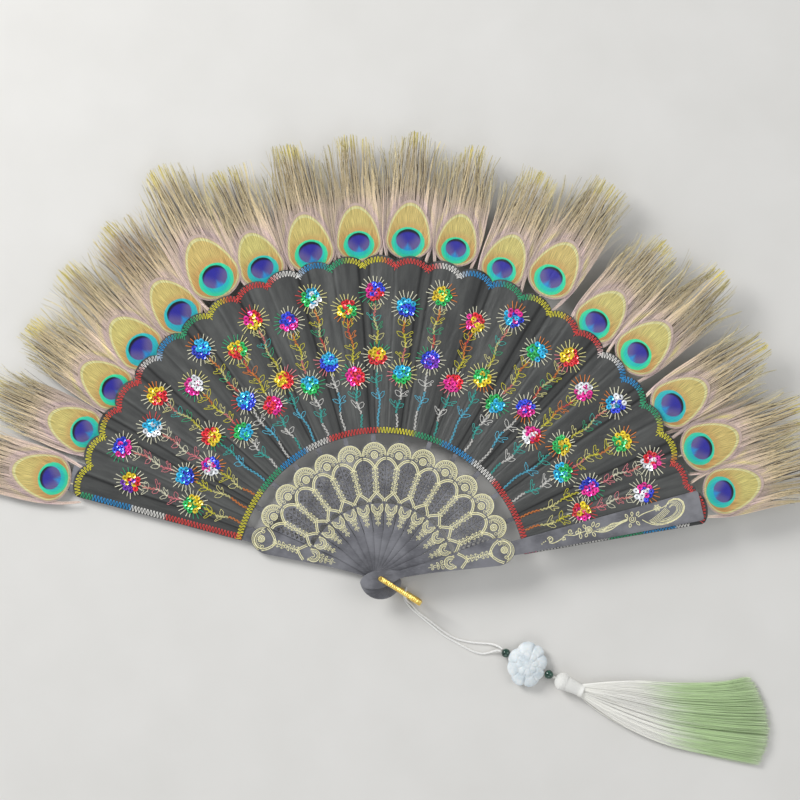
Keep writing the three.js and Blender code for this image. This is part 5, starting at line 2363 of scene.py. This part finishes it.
@dataclass
class Feathers:
    """Eighteen peacock eye feathers, their roots behind the leaf.

    Each has its angle, the reach of its pupil, the sizes of egg and pupil, and how blue its ring is.
    """

    layout: FanLayout = field(default_factory=FanLayout)
    eyes: tuple[tuple[float, ...], ...] = (
        (163.2, 228.4, 1, 1.05, 0.2), (153.8, 219.8, 0.95, 1.05, 0.3), (144.8, 217.1, 0.96, 1.1, 0.1),
        (136.3, 219.8, 1, 1.24, 0.8), (127.3, 219.8, 1, 1.26, 0.85), (118.9, 227, 1.1, 1.12, 0.2),
        (111, 219.1, 0.95, 1.08, 0.6), (102.2, 219.8, 0.98, 1.12, 0.1), (93.8, 221.8, 0.94, 0.96, 0.15),
        (85.4, 223.7, 0.95, 1.2, 0.25), (77.2, 223.1, 0.88, 0.92, 0.1), (68.6, 219.1, 0.92, 0.9, 0.15),
        (60.5, 227.7, 1, 1.02, 0.1), (50, 220.4, 0.96, 1.05, 0.1), (41.3, 225.1, 1.02, 0.95, 0.05),
        (30.8, 223.1, 1, 1.1, 0.8), (22.2, 227.7, 1, 1.06, 0.35), (14.3, 232.3, 0.98, 0.96, 0.5),
    )
    egg_top: float = 25.5
    egg_bottom: float = 12.4
    egg_half: float = 14.9
    barb_count: int = 520
    barb_rings: int = 10
    locks: int = 34
    shades: int = 3
    shade_radius: float = 0.24
    stray_share: float = 0.2
    painted_shade_share: float = 0.12
    loose_from: float = 16
    loose_over: float = 40
    bend_from: float = 20
    bend_over: float = 46
    rosy: str = "E6D0C4"
    beige: str = "DFCDAA"
    khaki: str = "D3C79B"
    brown: str = "A5806A"
    mauve: str = "C3A7BE"
    yellow_tip: str = "F2E352"
    pale_tip: str = "E6DCB0"
    line: str = "F1E68E"
    shadow: str = "4A4036"
    # dark colour of the slit barbs, painted shade between the locks
    between: str = "5A4D3E"
    quill: str = "D9CBA8"
    stalk: tuple[float, float, float] = (-26, 8, 0.5)
    tip: float = 76
    shorter_sides: float = 20
    outer_spread: float = 17
    root: float = -24
    envelope_x: tuple[float, ...] = (-26, -12, 0, 12, 25, 40, 55, 74)
    envelope_y: tuple[float, ...] = (10, 15, 17.8, 18.8, 19.2, 19.4, 19.4, 20.5)

    def egg(self, x: Array, y: Array) -> Array:
        """Where a place lies in the eye's egg: 1 on its rim, less inside.

        sqrt((x / length)^2 + (y / half)^2), with its own length outwards and inwards.
        """
        length = np.where(x > 0, self.egg_top, self.egg_bottom)
        half = self.egg_half * (1 - 0.1 * np.clip(x / self.egg_top, 0, 1))
        return np.sqrt((x / length) ** 2 + (y / half) ** 2)

    def settle(self, points: Array, number: int, degrees: float, reach: float) -> Array:
        """Turns a feather to its place and tucks what the leaf covers under the leaf.

        Args:
            points: places out from and across the pupil's middle, and height over the feather's level.
            number: its stick.
            degrees: its angle.
            reach: its pupil's reach.

        Returns:
            The points on the fan.
        """
        layout = self.layout
        base = layout.feather_level(number)
        flat = turned(moved(points, reach, 0), degrees)
        out, angle = reach_of(flat), angle_of(flat)
        wanted = base + points[..., 2]
        under = layout.cloth_floor(angle) - 0.06 - 0.2 * (1 - np.clip(points[..., 2], 0, 1))
        free = ease((out - layout.edge_reach(angle) - 0.2) / 7)
        beyond = (angle > layout.leaf_start) | (angle < layout.leaf_end)
        tucked = np.where(beyond, wanted, np.minimum(wanted, under))
        height = lerp(tucked, wanted, free)
        flat[..., 2] = np.maximum(height, layout.back_level + 1.22) if number == 0 else height
        return flat

    def eye_sheet(self) -> tuple[Array, Array]:
        """Thin cupped disc of the eye, over and under, in the feather's own place.

        Its edge lies at 1.1 times the egg, and the height is 0.45 + 0.4 share^2.

        Returns:
            Rings of points, and the place of each in millimetres.
        """
        turn = np.linspace(0, 2 * np.pi, 96, endpoint=False)[None]
        share = np.linspace(0.02, 1, 16)[:, None]
        half_width = 1.1 / self.egg(np.cos(turn), np.sin(turn))
        x, y = half_width * share * np.cos(turn), half_width * share * np.sin(turn)
        y = y * (1 - 0.1 * np.clip(x / self.egg_top, 0, 1))
        top = np.stack([x, y, 0.45 + 0.4 * share**2 + 0 * x], axis=-1)
        under = top[::-1] - np.array([0, 0, 0.14])
        grid = np.concatenate([top, under])
        return grid, grid[..., :2]

    def loosening(self, x: Array) -> tuple[Array, Array]:
        """How loose the brush is at places out from the pupil: eased 0 to 1, and growing evenly."""
        bend = np.clip((x - self.bend_from) / self.bend_over, 0, None)
        return ease((x - self.loose_from) / self.loose_over), bend

    def barbs(self, random: np.random.Generator, outer: int) -> tuple[Array, Array, Array]:
        """Barbs of one feather, streamlines that hug the egg and end in a ragged brush.

        A barb keeps a share s of the feather's half width: y = s W(x). It starts where that line
        leaves the egg, or at the root. Further out s closes in on the middle of its lock, and the
        lock sways with the square and curls away with the cube of the way out, most at the sides.

        Args:
            random: the feather's own generator.
            outer: 1 or -1 where the feather spreads wide on that side, 0 elsewhere.

        Returns:
            Paths (count, rings, 3), half widths and tints.
        """
        count, rings, locks = self.barb_count, self.barb_rings, self.locks
        share = np.linspace(-1, 1, count) + random.uniform(-0.012, 0.012, count)
        trial = np.linspace(self.root, self.egg_top + 2, 140)
        wide = np.interp(trial, self.envelope_x, self.envelope_y)
        inside = self.egg(trial[None], share[:, None] * wide[None]) < 1.03
        last = inside.shape[1] - 1 - np.argmax(inside[:, ::-1], axis=1)
        start = np.where(inside.any(axis=1), trial[last], self.root + random.uniform(0, 4, count))
        cuts = np.sort(random.uniform(-0.98, 0.98, locks - 1))
        lock = np.searchsorted(cuts, share)
        bounds = np.concatenate([[-1.02], cuts, [1.02]])
        centre = (bounds[:-1] + bounds[1:]) / 2
        apart = np.abs(centre)
        tip = self.tip + random.uniform(-3, 2) - self.shorter_sides * apart**2.2
        tip = tip + random.normal(0, 0.6 + 3.4 * apart)
        sway = random.normal(0, 0.9 + 2.8 * apart)
        swirl = np.sign(centre) * random.uniform(-5, 8, locks) * apart**2
        spread = self.outer_spread * outer * np.clip(outer * centre, 0, 1) ** 1.5
        swirl = swirl + spread * random.uniform(0.5, 1.3, locks)
        lift = random.uniform(0, 0.75, locks)
        end = tip[lock] - random.exponential(1.2 + 3.4 * apart[lock])
        centre, side, sway, swirl, lift = (
            value[lock][:, None] for value in (centre, apart, sway, swirl, lift)
        )
        end = np.maximum(end, start + 14)
        t = np.linspace(0, 1, rings)[None]
        x = lerp(start[:, None], end[:, None], t)
        late, out = self.loosening(x)
        stray = random.random((count, 1)) < self.stray_share
        pull = np.where(stray, random.uniform(0, 0.5, (count, 1)), random.uniform(0.84, 1, (count, 1)))
        s = lerp(share[:, None], centre, pull * late)
        y = s * np.interp(x, self.envelope_x, self.envelope_y)
        y = y + sway * out**2 + swirl * out**3
        loose = np.where(stray, random.normal(0, 3.5, (count, 1)), random.normal(0, 0.12, (count, 1)))
        y = y + loose * late**1.5 + (0.3 + 0.6 * side) * np.sin(x / 5.5 + 40 * centre) * late
        z = 0.15 + lift * late + random.uniform(0.03, 0.3, (count, 1)) + 0.15 * np.sin(x / 11)
        thin = random.uniform(0.11, 0.17, (count, 1)) * (1 - 0.45 * t**2)
        tone = random.uniform(0.66, 1.2, locks)[lock][:, None, None]
        tone = tone * random.uniform(0.72, 1.2, (count, 1, 1))
        tint = self.barb_tint(x, y, random, side[:, None]) * tone
        # dark barbs laid in the slits between the locks as painted shade
        cuts = np.repeat(cuts, self.shades)
        near = np.argmin(np.abs(share - cuts[:, None]), axis=1)
        dark = self.slits(random, cuts, x[near], sway[near], swirl[near])
        paths = np.stack([x, y, np.clip(z, 0.04, 1.15)], axis=-1)
        return tuple(np.concatenate(both) for both in zip((paths, thin, tint), dark))

    def slits(
        self, random: np.random.Generator, cuts: Array, x: Array, sway: Array, swirl: Array
    ) -> tuple[Array, Array, Array]:
        """Dark barbs put in the slits between two locks as painted shade; they lie low and end before their
        neighbours.

        Args:
            random: the feather's own generator.
            cuts: share of the half width that each keeps.
            x: places outwards of the nearest barb.
            sway: sideways bend of its lock, with the square of the way out.
            swirl: curl of its lock, with the cube of the way out.

        Returns:
            Paths, half widths and tints.
        """
        count = len(cuts)
        low = lerp(x[:, :1], x, random.uniform(0.6, 0.96, (count, 1)))
        loose, far = self.loosening(low)
        beside_cut = (cuts + random.uniform(-0.012, 0.012, count))[:, None]
        across = beside_cut * np.interp(low, self.envelope_x, self.envelope_y)
        across = across + sway * far**2 + swirl * far**3
        paths = np.stack([low, across, 0.05 + 0.2 * loose], axis=-1)
        thin = self.shade_radius * (1 - 0.6 * np.linspace(0, 1, self.barb_rings) ** 2) + 0 * low
        # painted shade: the slit barbs take the dark colour
        tint = linear(self.between) * random.uniform(0.5, 1.5, (count, 1, 1)) + 0 * paths
        return paths, thin, tint

    def barb_tint(self, x: Array, y: Array, random: np.random.Generator, side: Array) -> Array:
        """Colours of the barbs: rosy beige by the eye, straw further out, yellow at the middle's tips,
        and some barbs darkened by painted shade.

        Args:
            x: places outwards.
            y: places across.
            random: the feather's own generator.
            side: how far each barb's lock lies from the feather's middle, 0 to 1.

        Returns:
            A linear colour for each place.
        """
        count = len(x)
        names = self.rosy, self.beige, self.khaki, self.yellow_tip, self.line, self.pale_tip
        rosy, beige, khaki, tip, line, pale = (linear(name) for name in names)
        hue = random.uniform(0, 1)
        base = lerp(rosy, beige, np.clip(hue * 0.5 + ease((x - 20) / 26)[..., None], 0, 1))
        base = lerp(base, khaki, ease((x - 30) / 26)[..., None] * (0.25 + 0.6 * side))
        brown = (0.55 if hue > 0.72 else 0.12) * ease((x - 22) / 34)[..., None]
        base = lerp(base, linear(self.brown), brown * random.uniform(0.4, 1.2, (count, 1, 1)))
        near_tip = ease((x - x[:, -1:] + 11) / 8)[..., None] * random.uniform(0.5, 1, (count, 1, 1))
        base = lerp(base, lerp(tip, pale, np.clip(side * 1.6, 0, 1)), near_tip)
        egg = self.egg(x, y)
        stripe = bell(egg - 1.3, 0.045) * (x > -4) * random.uniform(0.05, 0.9)
        base = lerp(base, line, stripe[..., None])
        base = lerp(base, linear(self.mauve), 0.45 * bell(egg - 1.17, 0.06)[..., None])
        # painted shade: a share of the barbs darkened towards the shadow colour
        sunk = (random.random((count, 1, 1)) < self.painted_shade_share) * random.uniform(0.3, 0.8, (count, 1, 1))
        return lerp(base, linear(self.shadow), sunk)

    def build(self, eye: bpy.types.Material, vane: bpy.types.Material) -> None:
        """Makes an eye and a brush of barbs for each feather.

        Args:
            eye: finish of the eyes.
            vane: finish of the barbs.
        """
        layout = self.layout
        grid, place = self.eye_sheet()
        for index, (degrees, reach, egg, pupil, blue) in enumerate(self.eyes):
            number = int(np.clip(round((layout.first_angle - degrees) / layout.step), 0, layout.sticks - 1))
            random = np.random.default_rng(100 + index)
            sheet = Patchwork()
            lean = random.uniform(-2.5, 2.5)
            size = np.array([egg, egg, 1])
            points = self.settle(turned(grid * size, lean), number, degrees, reach)
            likeness = (pupil / egg - 0.8) * 2, blue, random.uniform(0, 1)
            sheet.add(points, tube_faces(1, *grid.shape[:2]), likeness, place / 100 + 0.5)
            disc = sheet.piece(f"feather_eye_{index + 1:02d}", eye, outward=True, crease=80)
            hold(disc, layout.body(number), "feather")
            outer = 1 if index == 0 else -1 if index == len(self.eyes) - 1 else 0
            paths, thin, tint = self.barbs(random, outer)
            root, end, girth = self.stalk
            stalk = np.linspace(root, end, self.barb_rings)[:, None] * [1, 0, 0] + [0, 0, 0.12]
            sheet = Patchwork()
            strands = (paths, thin, tint, 0.5), (stalk[None], girth, linear(self.quill), 0.4)
            for lines, radius, colour, flatness in strands:
                points, faces = tubes(turned(lines * size, lean), radius, radius * flatness, 3)
                there = self.settle(points, number, degrees, reach)
                sheet.add(there, faces, colour, lines[..., :2] / 100 + 0.5)
            brush = sheet.piece(f"feather_barbs_{index + 1:02d}", vane)
            hold(brush, layout.body(number), "feather", f"feather_{index + 1:02d}")


@dataclass(frozen=True)
class SatinCloth:
    """Charcoal satin of the leaf. Its pattern place is (reach, angle)."""

    # lit and shaded tones of the painted sheen bands
    light: str = "4C4D4B"
    dark: str = "3C3D3C"
    weave_pitch: float = 9000

    def material(self) -> bpy.types.Material:
        """Paints sheen in lighter and darker bands along the satin's folds and multiplies in the pleats'
        painted light and shade, with a fine weave and creases in the relief.

        Returns:
            The material.
        """
        r = Recipe("leaf_cloth")
        flat = r.pattern_place()
        band = r.noise(r.stretch(flat, (1.2, 9, 1)), 3.2, 3)
        crease = r.noise(r.stretch(flat, (4, 12, 1)), 5, 4)
        x, y, _ = r.axes(r.object_place())
        weave = (x * self.weave_pitch).wave() * (y * self.weave_pitch).wave()
        # painted sheen: lighter and darker bands along the folds
        colour = r.mix(band.step(0.32, 0.68), self.dark, self.light)
        # multiplies in the pleats' painted light and shade that the mesh carries as its tint
        colour = r.mix(1.0, colour, r.tint(), "MULTIPLY")
        return r.finish(
            colour, 0.36 + 0.22 * crease, crease + 0.05 * weave, 0.0004,
            sheen_weight=0.15, sheen_roughness=0.4, specular_IOR_level=0.45,
        )


@dataclass(frozen=True)
class RayonThread:
    """Shiny embroidery thread in the colours that the mesh carries."""

    shade: str = "6A5F58"

    def material(self) -> bpy.types.Material:
        """Twists the thread in fine relief over its own colour.

        Returns:
            The material.
        """
        r = Recipe("embroidery_thread")
        twist = r.noise(r.object_place(), 4200, 2)
        colour = r.mix(twist.step(0.3, 0.8) * 0.35, r.tint(), self.shade, "MULTIPLY")
        return r.finish(colour, 0.38 + 0.2 * twist, twist, 0.00006, sheen_weight=0.2)


@dataclass(frozen=True)
class SequinFoil:
    """Metallised plastic of the sequins in the colours that the mesh carries."""

    def material(self) -> bpy.types.Material:
        """Keeps the foil smooth and bright, with a faint cloud of scratches.

        Returns:
            The material.
        """
        r = Recipe("sequin_foil")
        haze = r.noise(r.object_place(), 1500, 3)
        return r.finish(
            r.tint(), 0.14 + 0.2 * haze, haze, 0.00002, metallic=0.45, coat_weight=0.8, coat_roughness=0.05,
        )


@dataclass(frozen=True)
class PeacockEye:
    """Eye of the feather. Its pattern place is millimetres from the pupil's middle, over 100.

    The colour that the mesh carries holds the pupil's size, how blue the ring is and how tawny the egg.
    """

    egg_top: float = 25.5
    egg_bottom: float = 12.4
    egg_half: float = 14.9
    ring_length: float = 9.2
    ring_half: float = 10.2
    pupil_length: float = 6.3
    pupil_half: float = 6.9
    barb_origin: float = 46
    fine_pitch: float = 620
    bronze: str = "F2E68C"
    tawny: str = "F4CC80"
    amber: str = "F6AE66"
    copper: str = "F4BC72"
    rim: str = "FFF9B4"
    rosy: str = "E6CBC2"
    turquoise: str = "1FE0D8"
    mint: str = "44FFB0"
    sky_blue: str = "2FC4EA"
    violet: str = "7468A8"
    indigo: str = "2E2CB0"
    black: str = "06061A"
    notch_blue: str = "2FA4F0"
    streak_light: str = "FFFFFF"
    streak_dark: str = "BBBBB2"

    def material(self) -> bpy.types.Material:
        """Paints egg, rim, ring, pupil and notch by distance, with a painted sheen across the pupil,
        streaked along the barbs.

        Returns:
            The material.
        """
        r = Recipe("peacock_eye")
        u, v, _ = r.axes(r.pattern_place())
        x, y = (u - 0.5) * 100.0, (v - 0.5) * 100.0
        bigger, blue, tawny = r.axes(r.tint())
        outward = x > 0.0
        along = x / (self.egg_bottom + outward * (self.egg_top - self.egg_bottom))
        narrow = 1 - 0.1 * (along * outward)
        egg = (along * along + (y / (self.egg_half * narrow)).maths("POWER", 2.0)).root()
        angle = r.node("ShaderNodeMath", {"operation": "ARCTAN2"}, {0: y, 1: x + self.barb_origin})
        barbs_place = r.node("ShaderNodeCombineXYZ", inputs={0: angle * 26.0, 1: x * 0.012})
        streak = r.noise(barbs_place, 9, 3)
        fine = (angle * self.fine_pitch).wave()
        wobble = r.noise(r.pattern_place(), 26, 2) - 0.5
        bronze = r.mix(tawny * 0.6, self.bronze, self.tawny)
        low = 1 - (egg * 0.6 + x * 0.045).step(0.35, 1.0)
        bronze = r.mix(low * 0.85, bronze, self.amber)
        bronze = r.mix(((y.size() - 5.0) * 0.1).step(0.0, 1.0) * 0.4, bronze, self.copper)
        ring_x = (x + 1.7) / (self.ring_length + bigger * 1.7)
        ring_y = y / (self.ring_half + bigger * 1.6)
        ring = (ring_x * ring_x + ring_y * ring_y).root() + wobble * 0.07
        teal = r.mix(ring.step(0.66, 0.92), self.turquoise, self.mint)
        teal = r.mix(blue * 0.85, teal, self.sky_blue)
        pupil_x = (x - 0.1) / (self.pupil_length + bigger * 1.4)
        pupil_y = y / (self.pupil_half + bigger * 1.8)
        pupil = (pupil_x * pupil_x + pupil_y * pupil_y).root() + wobble * 0.06
        # painted sheen on the pupil: indigo outwards and along its middle, violet elsewhere
        sheen = (x * 0.13 + streak * 1.1 - y.size() * 0.13).step(-0.6, 0.7)
        deep = r.mix(sheen, self.violet, self.indigo)
        deep = r.mix((pupil * 0.9 + x * 0.05).step(0.8, 1.06), deep, self.black)
        notch = (0.0 - x - 2.2 - y.size() * 1.2 + streak * 3.0).step(0.0, 4.5)
        deep = r.mix(notch, deep, self.notch_blue)
        colour = r.mix(egg.step(1.0, 1.04), bronze, self.rosy)
        edge = egg.step(0.925, 0.945) * (1 - egg.step(0.995, 1.02))
        colour = r.mix(edge, colour, self.rim)
        colour = r.mix(1 - ring.step(0.96, 1.02), colour, teal)
        colour = r.mix(1 - pupil.step(0.95, 1.04), colour, deep)
        glow = 1 - ring.step(0.96, 1.02)
        streaks = r.mix(streak.step(0.3, 0.7), self.streak_dark, self.streak_light)
        shade = r.mix(1 - 0.6 * glow, colour, streaks, "MULTIPLY")
        return r.finish(
            shade, 0.42 - 0.08 * glow + 0.1 * streak, fine * 0.5 + streak, 0.00022,
            metallic=0.06 * glow, sheen_weight=0.15,
        )


@dataclass(frozen=True)
class FeatherVane:
    """Loose barbs in the colours that the mesh carries."""

    shade: str = "A5A07E"

    def material(self) -> bpy.types.Material:
        """Varies the barbs with a fine noise and a silky gloss.

        Returns:
            The material.
        """
        r = Recipe("feather_vane")
        fleck = r.noise(r.object_place(), 1400, 2)
        colour = r.mix(fleck.step(0.3, 0.8) * 0.3, r.tint(), self.shade, "MULTIPLY")
        return r.finish(
            colour, 0.5 + 0.15 * fleck, fleck, 0.00005,
            metallic=0.05, sheen_weight=0.2, sheen_roughness=0.4,
        )


def main() -> None:
    """Builds the studio and every piece of the fan."""
    logging.basicConfig(level=logging.INFO, format="%(message)s")
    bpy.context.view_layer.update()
    Studio().build()
    TasselCord().build(TwistedCotton().material())
    string = BeadString()
    string.build(DarkJade().material(), FrostedStone().material())
    SilkTassel(string).build(TasselSilk().material())
    GoldShackle().build(BrushedGold().material())
    layout = FanLayout()
    Sticks(layout).build(MouldedPlastic().material(), GoldPrint().material())
    Leaf(layout).build(SatinCloth().material())
    Embroidery(layout).build(RayonThread().material(), SequinFoil().material())
    Feathers(layout).build(PeacockEye().material(), FeatherVane().material())
    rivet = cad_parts["rivet_pin"]
    rivet.data.materials.clear()
    rivet.data.materials.append(RivetBrass().material())
    for name in sorted(piece.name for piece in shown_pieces()):
        log.info("piece %s", name)


if __name__ == "__main__":
    main()
